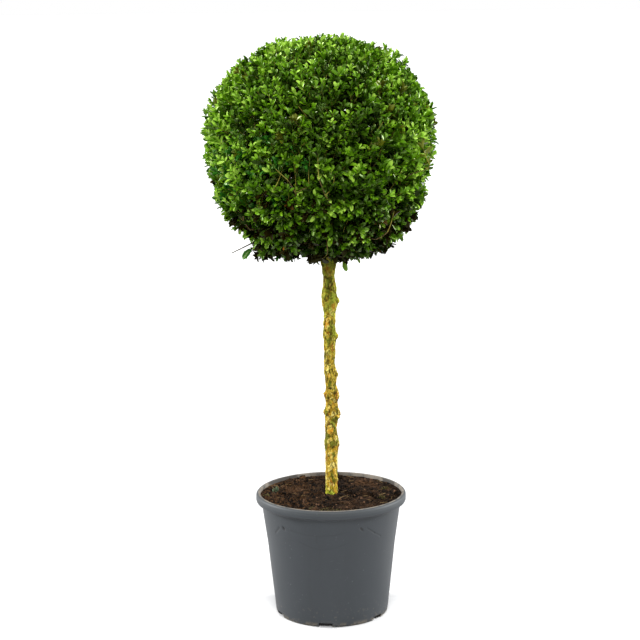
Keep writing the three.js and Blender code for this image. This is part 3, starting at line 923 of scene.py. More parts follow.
def bark_relief(places, normals):
    """The bark's points moved for flakes and healed cuts, and the marks for its finish there, with
    painted shade at the scars.
    """
    heights, middles = trunk_line()
    height = places[:, 2]
    middle = np.stack([np.interp(height, heights, middles[:, axis]) for axis in (0, 1)], axis=1)
    away = places[:, :2] - middle
    angle = np.degrees(np.arctan2(away[:, 1], away[:, 0]))
    radius = np.hypot(away[:, 0], away[:, 1])
    on_trunk = (height < TRUNK_TOP) & (radius < TRUNK_REACH)
    lift, plate, crack = flaky(places)
    bare, dark = np.zeros((2, len(places)))
    broken = 0.4 * np.array([noise.noise(Vector(place) * 380) for place in places])
    for scar in SCARS:
        turn = (angle - scar.angle + 180) % 360 - 180
        across = np.radians(turn) * radius / (scar.wide * MM)
        along = (height - scar.height * MM) / (scar.tall * MM)
        pointed = np.hypot(across * (1 + 0.5 * along ** 2), along) + broken
        inside = np.clip(1.15 - pointed, 0, 1) * on_trunk
        ring = np.exp(-((pointed - 1.12) / 0.24) ** 2) * on_trunk
        seam = np.exp(-((pointed - 0.88) / 0.13) ** 2) * on_trunk
        core = np.clip((0.92 - pointed) / 0.2, 0, 1) * on_trunk
        reach = scar.reach * MM
        if scar.kind == "bare":
            lift += reach * ring - 0.35 * reach * core
            bare = np.maximum(bare, core)
            # Painted shade inside the lip of the bare cut, strongest at its top and sides under the
            # overhang.
            dark = np.maximum(dark, seam * (0.55 + 0.45 * np.sign(along + 0.3)))
        elif scar.kind == "ochre":
            lift += reach * np.clip(inside * 2, 0, 1)
            bare = np.maximum(bare, 0.42 * core)
        elif scar.kind == "stub":
            lift += reach * np.exp(-pointed ** 2 * 1.4) * on_trunk
            bare = np.maximum(bare, 0.36 * np.clip(core * 1.3, 0, 1))
            # Painted shade round the foot of the stub.
            dark = np.maximum(dark, 0.8 * seam)
        else:
            lift -= reach * np.exp(-pointed ** 2) * on_trunk
            # Painted shade inside the hollow.
            dark = np.maximum(dark, np.clip(inside * 1.6, 0, 1))
    smooth_wood = 1 - np.maximum(bare, dark)
    foot = np.clip((height - TRUNK_FOOT) / (4 * MM), 0.15, 1)
    marks = {"bare": bare, "dark": dark, "plate": plate, "crack": crack * smooth_wood}
    return places + normals * (lift * foot)[:, None], marks


BARK_OCHRE = (0.56, 0.34, 0.022)
BARK_STRAW = (0.82, 0.530, 0.055)
BARK_CREAM = (0.96, 0.80, 0.22)
BARK_OLIVE = (0.185, 0.215, 0.014)
BARK_LICHEN = (0.53, 0.430, 0.042)
BARK_MOSSY = (0.54, 0.62, 0.055)
BARK_CREVICE = (0.064, 0.040, 0.003)
BARK_RUST = (0.52, 0.15, 0.013)
BARK_ALGAE = (0.38, 0.52, 0.014)
BARK_SOIL = (0.17, 0.105, 0.008)
WOOD_ORANGE = (0.82, 0.42, 0.030)
WOOD_PALE = (0.96, 0.80, 0.19)
BARK_SHEEN = 0.2


def bark_finish():
    """Straw and ochre flakes, mossier higher up, bare wood at the cuts, dark cracks that are partly
    painted shade, and painted shade at the scars.
    """
    finish = Finish("trunk_bark", BARK_OCHRE)
    height = finish.parted(finish.place())[2]
    upright = finish.stretched((1, 1, 0.55))
    marks = ("bare", "dark", "plate", "crack")
    bare, dark, plate, crack = (finish.attribute(name) for name in marks)
    blotches = finish.speckle(150, upright, detail=4, roughness=0.65)
    fine = finish.speckle(480, upright, detail=4, roughness=0.7)
    low = 1 - finish.step(height, *BARK_LOW_BAND)
    high = finish.step(height, *BARK_HIGH_BAND)
    foot = 1 - finish.step(height, *BARK_FOOT_BAND)
    finish.coat(BARK_STRAW, finish.step(plate + (blotches - 0.5) * 1.6, 0.2, 0.6))
    pale = finish.step(plate + (fine - 0.5) * 1.5 + low * 0.24, 0.70, 0.85)
    finish.coat(BARK_CREAM, pale, share=0.9)
    lichen = finish.specks(62, 0.44, 0.56, upright, detail=3) * finish.step(fine, 0.32, 0.55)
    finish.coat(BARK_LICHEN, lichen * (0.70 + high * 0.2))
    rusty = finish.specks(100, 0.57, 0.66, finish.stretched((1.2, 1.2, 0.5)), detail=3)
    finish.coat(BARK_RUST, rusty, share=0.75)
    shade = finish.step(finish.speckle(84, upright, detail=4) + high * 0.05, 0.53, 0.58)
    finish.coat(BARK_OLIVE, shade, share=0.9)
    grit = finish.speckle(190, upright, detail=3, roughness=0.6)
    dirt = finish.step(grit - low * 0.02, 0.51, 0.57)
    finish.coat(BARK_SOIL, dirt * (0.80 - high * 0.4 - low * 0.35))
    finish.coat(BARK_MOSSY, high * finish.step(blotches, 0.43, 0.54), share=0.75)
    finish.coat(BARK_ALGAE, foot * finish.step(blotches, 0.46, 0.58), share=0.7)
    wood = finish.mixed(finish.step(blotches, 0.42, 0.58), WOOD_ORANGE, WOOD_PALE)
    finish.coat(wood, finish.step(bare + fine * 0.3, 0.42, 0.72))
    pores = finish.specks(340, 0.53, 0.62, upright, detail=3)
    finish.coat(BARK_CREVICE, pores * (0.74 - high * 0.34 - low * 0.16))
    # Dark cracks between the plates: partly the bark's own fissures and partly painted shade in
    # them.
    finish.coat(BARK_CREVICE, finish.step(crack + (fine - 0.5) * 0.8, 0.35, 0.95), share=0.85)
    # Painted shade at the scars: in the hollows, round the stubs and inside the lips of bare cuts.
    finish.coat(BARK_CREVICE, finish.step(dark, 0.25, 0.8), share=0.92)
    flakes = finish.bumped(blotches, 0.8, 1.0 * MM)
    return finish.made(
        roughness=0.74 + fine * 0.2,
        normal=finish.bumped(fine, 0.85, 0.6 * MM, flakes),
        specular_ior_level=BARK_SHEEN,
    )


def bark_piece():
    """One skin over the trunk and its boughs, fine enough to carry the bark's relief."""
    bark = merged_copy("trunk_and_boughs", TRUNK_NODES)
    remesh = bark.modifiers.new("skin", "REMESH")
    remesh.mode = "VOXEL"
    remesh.voxel_size = BARK_GRAIN
    rounding = bark.modifiers.new("rounding", "SMOOTH")
    rounding.iterations = 5
    settled(bark)
    places, marks = bark_relief(points_of(bark.data), read(bark.data.vertex_normals, "vector"))
    bark.data.vertices.foreach_set("co", places.astype(np.float32).ravel())
    for name, values in marks.items():
        mark(bark.data, name, values)
    bark.data.materials.clear()
    bark.data.materials.append(bark_finish())
    bark.data.update()
    smoothed(bark, 75)
    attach(bark, "root")
    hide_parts(*TRUNK_NODES)


bark_piece()

# ----------------------------------------------------------------------------------------------
# The limbs of the crown, which go on from the ends of the boughs and divide until each ends in a
# shoot under the clipped surface. Each new limb leaves the nearest wood that already heads its
# way, and a limb is as thick as all the shoots that it feeds.

SEED = 20
Kind = namedtuple("Kind", "length radius leafy pairs apart leaves size turn across",
                  defaults=(1.0, 2, 1.0, None, (0.31, 0.17, 0.93)))
SHOOT_KINDS = {
    "clipped": Kind((38, 64), (0.80, 0.36), 0.90, 8),
    "leggy": Kind((38, 68), (0.72, 0.40), 0.70, 7, apart=1.5),
    "inner": Kind((30, 52), (0.70, 0.38), 0.80, 5, size=1.3),
    "stray": Kind(None, (1.25, 0.65), 0.80, 2, size=1.25),
    "lone": Kind(None, (1.00, 0.55), 0.50, 1, leaves=1, size=2.1, turn=math.pi, across=(1, 0, 0)),
    "bare": Kind(None, (1.70, 0.90), 0.50, 0),
}
SHOOT_SPACING = 11.2 * MM
SHOOT_POINTS = 5
TIP_DEPTH = (1 * MM, 8 * MM)
CLUMP_SIZE = 29 * MM
CLUMP_DEPTH = 16 * MM
CLUMP_GAP = -0.52
LEGGY_SHARE = 0.20
LOWEST_FOOT = 26 * MM
HOLLOW_REACH = 58 * MM
INNER_HOLLOW_REACH = 60 * MM
INNER_SPACING = 20 * MM
INNER_DEPTH = (32 * MM, 72 * MM)
INNER_DEPTH_UNDER = (8 * MM, 40 * MM)
RAGGED_DEPTH = 21 * MM
RAGGED_SIZE = 34 * MM
# The clumps that hang from the underside: x of the middle and half the width, in millimetres.
HANGING_CLUMPS = [(-124, 11), (-105.5, 4), (-92, 4), (-70, 12), (-27, 11), (22, 26), (62, 20),
                  (108, 26)]

# Shoots set one by one: kind, foot and tip in millimetres, and a leaf size and tint of their own.
SET_SHOOTS = [
    # Long, bare or hanging ones, let grow since the ball was last cut.
    ("stray", (-138, -40, 754), (-168, -42, 745)),
    ("lone", (-150, -38, 778), (-160, -42, 745), {"size": 1.8}),
    ("lone", (-122, -36, 762), (-145, -42, 729), {"size": 1.7, "tint": "leaf_deep"}),
    ("bare", (-120, -40, 727), (-178, -43, 699)),
    ("stray", (-122, -40, 716), (-144, -42, 700)),
    ("lone", (22, -48, 726), (27, -60, 689), {"size": 2.2, "tint": "leaf_green"}),
    ("lone", (38, -40, 728), (50, -52, 690), {"size": 1.6, "tint": "leaf_bright"}),
    ("lone", (-72, -88, 741), (-75, -114, 722), {"size": 1.3, "tint": "leaf_orange"}),
    ("leggy", (70, -97, 731), (103, -102, 760)),
    # The full right shoulder.
    ("clipped", (92, -16, 1017), (124, -20, 1055)),
    ("clipped", (108, -8, 1008), (143, -10, 1043)),
    ("clipped", (84, -36, 1022), (112, -45, 1061)),
    ("clipped", (102, -34, 1006), (136, -40, 1039)),
    ("clipped", (96, 10, 1015), (129, 14, 1052)),
    ("clipped", (80, 18, 1026), (108, 24, 1066)),
    # The lower right.
    ("clipped", (109, -8, 766), (140, -10, 734)),
    ("clipped", (105, -12, 757), (130, -15, 727)),
    ("clipped", (91, -16, 748), (114, -20, 720)),
    ("clipped", (114, 0, 778), (146, -2, 749)),
    ("clipped", (100, -36, 757), (124, -44, 728)),
    ("clipped", (104, 14, 758), (132, 18, 726)),
    # The front of the underside, mostly in the darkest tints: painted shade under the ball.
    ("clipped", (-22, -58, 714), (-24, -68, 690), {"tint": "leaf_deep"}),
    ("clipped", (-33, -56, 712), (-35, -64, 689), {"tint": "leaf_shade"}),
    ("clipped", (-112, -34, 722), (-131, -40, 694), {"tint": "leaf_umber"}),
    ("clipped", (-106, -42, 720), (-121, -49, 692), {"tint": "leaf_shade"}),
    ("clipped", (-102, -38, 720), (-113, -45, 694), {"tint": "leaf_umber"}),
    ("clipped", (-96, -46, 720), (-106, -53, 697), {"tint": "leaf_deep"}),
    ("clipped", (-84, -50, 718), (-92, -58, 694), {"tint": "leaf_cool"}),
    ("clipped", (-72, -54, 718), (-77, -62, 694), {"tint": "leaf_deep"}),
    ("clipped", (-60, -54, 718), (-64, -62, 694), {"tint": "leaf_shade"}),
    ("lone", (-120, -38, 732), (-140, -43, 708), {"size": 2.6, "tint": "leaf_cool"}),
]
LIMB_STEP = 17 * MM
LIMB_WANDER = 1.6 * MM
COST_OF_TURNING = 0.55
COST_OF_BENDING = 0.45
COST_OF_LENGTH = 0.22
LEAVING_PULL = 0.8
ARRIVING_PULL = 0.6
PIPE_POWER = 2.35
LIMB_DARK = (0.080, 0.050, 0.012)
LIMB_PALE = (0.30, 0.21, 0.055)

rng = np.random.default_rng(SEED)
crown_low, crown_high = (np.array(corner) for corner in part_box("crown"))
crown_mesh = merged_copy("crown_surface", ["crown"])
crown_centre = (crown_low + crown_high) / 2
hollow_height = crown_low[2] + 60 * MM
BOUGH_NODES = TRUNK_NODES[1:]


def unit(vectors):
    return vectors / np.maximum(np.linalg.norm(vectors, axis=-1, keepdims=True), 1e-9)


def crown_level(height):
    """How far up the crown a height is, from 0 at its underside to 1 at its top."""
    return (height - crown_low[2]) / (crown_high[2] - crown_low[2])


def surface_spots(mesh, spacing):
    """Places about one spacing apart all over a surface, with the way out at each."""
    mesh.calc_loop_triangles()
    corners = np.array([[mesh.vertices[v].co for v in t.vertices] for t in mesh.loop_triangles])
    side_a, side_b = corners[:, 1] - corners[:, 0], corners[:, 2] - corners[:, 0]
    cross = np.cross(side_a, side_b)
    area = np.linalg.norm(cross, axis=1) / 2
    count = int(area.sum() / spacing ** 2 * 7)
    chosen = rng.choice(len(area), count, p=area / area.sum())
    u, v = rng.random((2, count, 1))
    flip = u + v > 1
    u, v = np.where(flip, 1 - u, u), np.where(flip, 1 - v, v)
    spots = corners[chosen, 0] + u * side_a[chosen] + v * side_b[chosen]
    outward = unit(cross)[chosen]
    kept = []
    cells = {}
    for i, spot in enumerate(spots):
        cell = tuple(np.floor(spot / spacing).astype(int))
        beside = product(*((along - 1, along, along + 1) for along in cell))
        near = [j for neighbour in beside for j in cells.get(neighbour, ())]
        if all(np.linalg.norm(spots[j] - spot) > spacing for j in near):
            cells.setdefault(cell, []).append(i)
            kept.append(i)
    return spots[kept], outward[kept]


def bough_ends():
    """Where each bough ends inside the crown, and the way it heads there."""
    fork = np.array(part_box("trunk")[1]) * (0, 0, 1)
    ends = []
    for node in BOUGH_NODES:
        places = points_of(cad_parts[node].data)
        reach = np.linalg.norm(places - fork, axis=1)
        end = places[reach > reach.max() - 4 * MM].mean(axis=0)
        start = places[reach < reach.min() + 6 * MM].mean(axis=0)
        ends.append((end, unit(end - start)))
    return ends


def noise_at(spots, size):
    return np.array([noise.noise(Vector(spot / size)) for spot in spots])


def ragged(spots):
    """How far the crown's underside is eaten back at each spot, with clumps left hanging."""
    torn = noise_at(spots, RAGGED_SIZE)
    hanging = np.zeros(len(spots))
    for x, wide in HANGING_CLUMPS:
        hanging = np.maximum(hanging, np.exp(-((spots[:, 0] - x * MM) / (wide * MM)) ** 4))
    return RAGGED_DEPTH * np.clip(0.8 + 0.5 * torn - 1.1 * hanging, -0.25, 1)


def raised_foot(tip, way, long, out, kind):
    """A shoot, with its foot kept above the crown's underside so that no wood hangs bare below."""
    foot = tip - way * long
    lowest = crown_low[2] + LOWEST_FOOT + 0.2 * np.hypot(foot[0], foot[1])
    foot[2] = max(foot[2], min(lowest, tip[2] + 12 * MM))
    return {"foot": foot, "tip": tip, "way": unit(tip - foot), "out": out, "kind": kind}


def shoots_under_surface():
    """The shoots whose tips make the clipped surface, some of them long, bare and leggy."""
    spots, outward = surface_spots(crown_mesh.data, SHOOT_SPACING)
    in_hollow = (np.hypot(spots[:, 0], spots[:, 1]) < HOLLOW_REACH) & (spots[:, 2] < hollow_height)
    clump = noise_at(spots, CLUMP_SIZE) * 1.6
    grows = ~in_hollow & (clump > CLUMP_GAP)
    spots, outward, clump = spots[grows], outward[grows], clump[grows]
    level = crown_level(spots[:, 2])
    often = LEGGY_SHARE * np.clip(1.5 - 1.5 * level, 0, 1) * (outward[:, 2] > -0.5)
    leggy = rng.random(len(spots)) < often
    under = np.clip(-outward[:, 2] - 0.3, 0, 1)
    hollow = np.clip(0.5 - 0.8 * clump, 0, 1)
    shorn = np.clip((level - 0.75) / 0.2, 0, 1)
    eaten = CLUMP_DEPTH * hollow * (1 - 0.5 * under) * (1 - 0.5 * shorn)
    depth = rng.uniform(*TIP_DEPTH, len(spots)) + eaten
    depth = depth + 1.5 * MM * shorn
    depth = depth + ragged(spots) * np.clip(under * 5 - 1, 0, 1)
    tips = spots - outward * depth[:, None]
    flat_out = unit((spots - crown_centre) * (1, 1, 0))
    upright = 0.68 * np.clip(level / 0.35, 0, 1) * (1 - under)
    heading = outward + under[:, None] * flat_out * 0.9
    heading[:, 2] += upright
    heading = unit(heading + rng.normal(0, 0.27, heading.shape))
    from_fork = unit(spots - (0, 0, crown_low[2]))
    wandering = unit(0.75 * from_fork + (0, 0, 0.25) + rng.normal(0, 0.3, heading.shape))
    shoots = []
    for i in range(len(spots)):
        kind = "leggy" if leggy[i] else "clipped"
        way = wandering[i] if leggy[i] else heading[i]
        long = rng.uniform(*SHOOT_KINDS[kind].length) * MM
        shoots.append(raised_foot(tips[i], way, long, outward[i], kind))
    return shoots


def inner_shoots():
    """Short shoots left in the shade inside, which close the crown behind its surface."""
    spots, outward = surface_spots(crown_mesh.data, INNER_SPACING)
    shoots = []
    for spot, out in zip(spots, outward):
        under = out[2] < -0.35
        tip = spot - out * rng.uniform(*(INNER_DEPTH_UNDER if under else INNER_DEPTH))
        way = unit((out * (1, 1, 0.3) if under else out + (0, 0, 0.5)) + rng.normal(0, 0.3, 3))
        if np.hypot(tip[0], tip[1]) < INNER_HOLLOW_REACH and tip[2] < hollow_height:
            continue
        long = rng.uniform(*SHOOT_KINDS["inner"].length) * MM
        shoots.append(raised_foot(tip, way, long, out, "inner"))
    return shoots


def set_shoots():
    """The shoots set one by one: strays under the ball, and clipped ones where it is fullest."""
    shoots = []
    for kind, foot, tip, *own in SET_SHOOTS:
        foot, tip = np.array(foot) * MM, np.array(tip) * MM
        way = unit(tip - foot)
        shoot = {"kind": kind, "foot": foot, "tip": tip, "way": way, "out": way * (1, 1, 0)}
        shoots.append({**shoot, **dict(*own)})
    return shoots


def limb_tree(feet, headings):
    """The limbs as points in growing order: places, the point before each, and each foot's last."""
    places, ways = (list(column) for column in zip(*bough_ends()))
    parents = [-1] * len(places)
    reached = {}
    fork = np.array(places).mean(axis=0)
    order = np.argsort(np.linalg.norm(feet - fork, axis=1))
    known = np.zeros((len(feet) * 16, 3))
    known_ways = np.zeros_like(known)
    known_lengths = np.zeros(len(known))
    known[:len(places)] = places
    known_ways[:len(places)] = ways
    for foot in order:
        count = len(places)
        gap = feet[foot] - known[:count]
        distance = np.linalg.norm(gap, axis=1)
        against = 1 - (unit(gap) * known_ways[:count]).sum(axis=1)
        crooked = 1 - (unit(gap) * headings[foot]).sum(axis=1)
        cost = distance * (1 + COST_OF_TURNING * against + COST_OF_BENDING * crooked)
        cost = cost + COST_OF_LENGTH * known_lengths[:count]
        best = int(np.argmin(cost))
        steps = max(1, round(distance[best] / LIMB_STEP))
        start, end = known[best].copy(), feet[foot]
        leave = known_ways[best] * distance[best] * LEAVING_PULL
        arrive = headings[foot] * distance[best] * ARRIVING_PULL
        last = best
        for step in range(1, steps + 1):
            t = step / steps
            place = ((2 * t ** 3 - 3 * t ** 2 + 1) * start + (t ** 3 - 2 * t ** 2 + t) * leave
                     + (3 * t ** 2 - 2 * t ** 3) * end + (t ** 3 - t ** 2) * arrive)
            if step < steps:
                place = place + rng.normal(0, LIMB_WANDER, 3)
                place[2] = max(place[2], min(start[2], end[2], crown_low[2] + LOWEST_FOOT))
            way = unit(place - known[last])
            number = len(places)
            places.append(place)
            parents.append(last)
            known[number] = place
            known_ways[number] = way
            known_lengths[number] = known_lengths[last] + np.linalg.norm(place - known[last])
            last = number
        reached[int(foot)] = last
    return np.array(places), np.array(parents), reached


def limb_radii(parents, reached):
    """Thickness of every limb point, from the shoots that it feeds."""
    fed = np.zeros(len(parents))
    for foot, last in reached.items():
        fed[last] += (SHOOT_KINDS[shoots[foot]["kind"]].radius[0] * MM) ** PIPE_POWER
    for i in range(len(parents) - 1, -1, -1):
        if parents[i] >= 0:
            fed[parents[i]] += fed[i]
    return fed ** (1 / PIPE_POWER)


def limb_strands(places, parents, radii):
    """The limbs as runs of points: each starts in its parent and follows its thickest branch."""
    heir = {}
    for i in range(len(places) - 1, -1, -1):
        parent = int(parents[i])
        if parent >= 0 and (parent not in heir or radii[i] > radii[heir[parent]]):
            heir[parent] = i
    strands = []
    for i in range(len(places)):
        parent = int(parents[i])
        if parent < 0 or (heir[parent] == i and parents[parent] >= 0):
            continue
        run = [parent, i]
        while run[-1] in heir:
            run.append(heir[run[-1]])
        strand_radii = radii[run].copy()
        strand_radii[0] = min(strand_radii[0], strand_radii[1] * 1.25)
        strands.append((places[run], strand_radii))
    return strands


def shoot_line(shoot):
    """A shoot's points from foot to tip, bowed down and inwards, and its thickness at each."""
    t = np.linspace(0, 1, SHOOT_POINTS)[:, None]
    foot, tip = shoot["foot"], shoot["tip"]
    bow = (foot + tip) / 2 - shoot["out"] * 3 * MM + np.array([0, 0, -2.5 * MM])
    if shoot["kind"] != "clipped":
        bow = bow + rng.normal(0, 3.5 * MM, 3)
    points = (1 - t) ** 2 * foot + 2 * t * (1 - t) * bow + t ** 2 * tip
    return points, np.linspace(*SHOOT_KINDS[shoot["kind"]].radius, SHOOT_POINTS) * MM


def strand_mesh(name, strands):
    """One mesh of loose lines, with each point's thickness kept on it."""
    vertices = np.vstack([points for points, _ in strands])
    thickness = np.concatenate([radii for _, radii in strands])
    edges = []
    first = 0
    for points, _ in strands:
        edges += [(first + i, first + i + 1) for i in range(len(points) - 1)]
        first += len(points)
    mesh = bpy.data.meshes.new(name)
    mesh.from_pydata(vertices.tolist(), edges, [])
    mark(mesh, "thickness", thickness)
    return mesh


def tube_recipe(material):
    """Lines made round limbs of their own thickness."""
    recipe = Recipe("limbs")
    sides = recipe.size("Sides", "Int")
    curve = recipe.node("GeometryNodeMeshToCurve", None, {0: recipe.start()})
    tube = recipe.tube(curve, sides, 1.0, Scale=recipe.attribute("thickness"))
    recipe.finish(recipe.painted(recipe.real(tube), material))
    return recipe


def limb_finish():
    """Brown bark with paler streaks along the limb."""
    finish = Finish("limb_bark", LIMB_DARK)
    streaks = finish.speckle(1, finish.stretched((160, 160, 90)), detail=4)
    finish.coat(LIMB_PALE, finish.step(streaks, 0.35, 0.65))
    return finish.made(roughness=0.8, normal=finish.bumped(streaks, 0.5, 0.4 * MM))


def lines_of(*kinds):
    """The lines of the shoots of these kinds."""
    return [line for line, shoot in zip(shoot_lines, shoots) if shoot["kind"] in kinds]


def strip_attributes(mesh, names):
    for name in names:
        if name in mesh.attributes:
            mesh.attributes.remove(mesh.attributes[name])


shoots = shoots_under_surface() + inner_shoots() + set_shoots()
feet = np.array([shoot["foot"] for shoot in shoots])
limb_places, limb_parents, limb_ends = limb_tree(feet, np.array([shoot["way"] for shoot in shoots]))
limb_thickness = limb_radii(limb_parents, limb_ends)
limb_lines = limb_strands(limb_places, limb_parents, limb_thickness)
shoot_lines = [shoot_line(shoot) for shoot in shoots]

for name, lines, finish, sides in (
        ("crown_limbs", limb_lines, limb_finish(), 6),
        ("crown_leggy_twigs", lines_of("leggy"),
         plain_finish("leggy_bark", (0.38, 0.33, 0.060), 0.7, 0.4, 200), 5),
        # The strays under the ball have dark bark: painted shade.
        ("crown_stray_twigs", lines_of("stray", "lone", "bare"),
         plain_finish("stray_bark", (0.085, 0.060, 0.022), 0.8, 0.3, 200), 5),
        ("crown_twigs", lines_of("clipped", "inner"),
         plain_finish("twig_bark", (0.30, 0.27, 0.045), 0.7, 0.35, 200), 4)):
    piece = grown(name, strand_mesh(name + "_lines", lines), tube_recipe(finish), {"Sides": sides})
    strip_attributes(piece.data, ["thickness"])
    smoothed(piece, 60)
    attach(piece, "root")

# ----------------------------------------------------------------------------------------------
# The leaves: small, thick, glossy and oval, round at the tip, set on the shoots in opposite pairs
# that turn a quarter from one pair to the next. Young ones at the clipped top are short and
# bright, and old ones lower down are longer, broader and darker, partly from how old they are and
# partly painted light and shade, which also brighten the top and sides and darken the underside.

LEAF_STATIONS = [(0.22, 0.30), (0.58, 0.50), (0.88, 0.36)]
PAIR_GAPS = [0, 3.0, 4.4, 5.4, 6.0, 6.4, 6.8, 7.0]
PAIR_SIZES = [0.55, 0.80, 0.96, 1.0, 1.03, 1.0, 0.98, 0.95]
PAIR_SPREAD = [16, 28, 37, 44, 50, 56, 60, 64]
LEAF_TOP = (5.8 * MM, 14.0 * MM)
LEAF_LOW = (8.0 * MM, 18.0 * MM)
LEAF_PIECES = 6
LEAF_FORMS = 3
LEAF_ROUGHNESS = 0.32
LEAF_GLOSS = 0.62
LEAF_SHADE_GLOSS = 0.18
LEAF_DEAD_GLOSS = 0.12
LEAF_GLOSS_TINT = (0.82, 1.0, 0.42)
LEAF_LIFT = 0.5 * MM
TURN_SCATTER = 0.22
TILT_SCATTER = 17
GROWTH_SCATTER = 0.14
FACE_SCATTER = 0.42
TINT_ODDS = (0.13, 0.74, 0.13)

LEAF_COLOURS = {
    "leaf_shade": (0.008, 0.020, 0.001),
    "leaf_deep": (0.019, 0.050, 0.002),
    "leaf_forest": (0.038, 0.095, 0.003),
    "leaf_green": (0.066, 0.168, 0.005),
    "leaf_fresh": (0.112, 0.275, 0.007),
    "leaf_bright": (0.205, 0.435, 0.011),
    "leaf_lime": (0.430, 0.700, 0.080),
    "leaf_olive": (0.130, 0.150, 0.008),
    "leaf_cool": (0.030, 0.165, 0.012),
    "leaf_umber": (0.022, 0.015, 0.002),
    "leaf_bronze": (0.110, 0.050, 0.006),
    "leaf_orange": (0.520, 0.200, 0.030),
}
DULL_TINTS = ("leaf_shade", "leaf_deep", "leaf_umber")
TINTS = list(LEAF_COLOURS)
TINT_STEPS = TINTS[:7]

# Single sprays of another tint: x and z of the place in millimetres, and the tint.
WEATHERED = [(80, 716, "leaf_bronze"), (-70, 806, "leaf_bronze"), (-16, 728, "leaf_bronze"),
             (-30, 1072, "leaf_olive"), (134, 1000, "leaf_olive")]
CROWN_REACH = (crown_high[0] - crown_low[0]) / 2


def leaf_object(name, fold, curl):
    """A leaf along Y with its face to Z, a unit long and wide, folded and curled back."""
    vertices = [(0, 0, 0)]
    for along, half in LEAF_STATIONS:
        sag = -curl * along ** 2
        edge = sag + fold * half
        vertices += [(-half, along, edge), (0, along, sag), (half, along, edge)]
    vertices.append((0, 1, -curl))
    faces = [(0, 2, 1), (0, 3, 2)]
    for row in range(len(LEAF_STATIONS) - 1):
        left, middle, right = (3 * row + 1 + i for i in range(3))
        faces += [(left, middle, middle + 3, left + 3), (middle, right, right + 3, middle + 3)]
    left = 3 * len(LEAF_STATIONS) - 2
    faces += [(left, left + 1, left + 3), (left + 1, left + 2, left + 3)]
    leaf = new_piece(name, vertices, faces)
    leaf.data.shade_smooth()
    return leaf


def leaf_finish(name, colour):
    """Waxy green, duller where the leaf is shaded, old or dead."""
    gloss = LEAF_SHADE_GLOSS if name in DULL_TINTS else LEAF_GLOSS
    if name == "leaf_umber":
        gloss = LEAF_DEAD_GLOSS
    return Finish(name, colour).made(
        roughness=LEAF_ROUGHNESS, specular_ior_level=gloss, specular_tint=LEAF_GLOSS_TINT)


def leaf_recipe(leaves, materials):
    """A leaf set at every point, by the point's own growth, face, size, form and tint."""
    recipe = Recipe("leaves")
    whole = recipe.size("Leaf size")
    forms = recipe.node("GeometryNodeJoinGeometry")
    joined = forms.socket.node.inputs[0]
    for leaf in leaves:
        values = {"Object": leaf, "As Instance": True}
        recipe.feed(joined, recipe.node("GeometryNodeObjectInfo", None, values, output="Geometry"))
    ways = ("growth", "face", "size")
    growth, face, size = (recipe.attribute(name, "FLOAT_VECTOR") for name in ways)
    form, tint = (recipe.attribute(name, "INT") for name in ("form", "tint"))
    axes = {"primary_axis": "Y", "secondary_axis": "Z"}
    turn = recipe.node("FunctionNodeAxesToRotation", axes, {0: growth, 1: face})
    shape = recipe.copied(forms, recipe.start(), turn, recipe.scaled(size, whole),
                          pick_instance=True, instance_index=form)
    for number, material in enumerate(materials):
        equal = {"data_type": "INT", "operation": "EQUAL"}
        chosen = recipe.node("FunctionNodeCompare", equal, {2: tint, 3: number})
        shape = recipe.painted(shape, material, chosen)
    recipe.finish(shape)
    return recipe


def pick_tint(shoot, level):
    """A leaf tint for one spray, with painted light and shade: brighter at the top, the sides and
    the lower half, darker inside and underneath.
    """
    draw = rng.random()
    if "tint" in shoot:
        return shoot["tint"]
    under = float(np.clip(-shoot["out"][2] - 0.25, 0, 0.7)) / 0.7
    # Shoots inside get the darkest tints, as painted shade, and some dark brown.
    if shoot["kind"] == "inner":
        if draw < 0.10 + 0.3 * under:
            return "leaf_umber"
        return "leaf_shade" if draw < 0.65 else "leaf_deep"
    # Sprays facing down turn dark brown more often: partly painted shade under the ball.
    if draw < 0.35 * under:
        return "leaf_umber"
    if rng.random() < 0.003 + 0.04 * under:
        return "leaf_bronze"
    right = float(np.clip((shoot["tip"][0] - crown_centre[0]) / CROWN_REACH, -1, 1))
    if draw < 0.018 + 0.05 * max(0, right) + 0.08 * under:
        return "leaf_olive"
    if draw < 0.13 and level < 0.6 and right < 0:
        return "leaf_cool"
    # Sprays at the left and right of the ball are brightened: painted light on its sides.
    edge = (2.1 if right > 0 else 2.8) * abs(right) ** 3
    # The top and the lower half are brightened and sprays facing down darkened: painted light and
    # shade. The random share is each spray's own tone.
    low = float(np.clip(1.15 - level / 0.52, 0, 1))
    place = 2.50 + 1.75 * level ** 5 + 2.35 * low + edge + 4.3 * (rng.random() - 0.5) - 3.5 * under
    # The lightest tint only at the top and the sides: painted highlights.
    brightest = 6 if level > 0.7 or abs(right) > 0.65 else 5
    return TINT_STEPS[int(np.clip(round(place), 0, brightest))]


def stepped(tint, change):
    """The tint a step lighter or darker along the greens."""
    if tint not in TINT_STEPS:
        return tint
    return TINT_STEPS[int(np.clip(TINT_STEPS.index(tint) + change, 0, len(TINT_STEPS) - 1))]


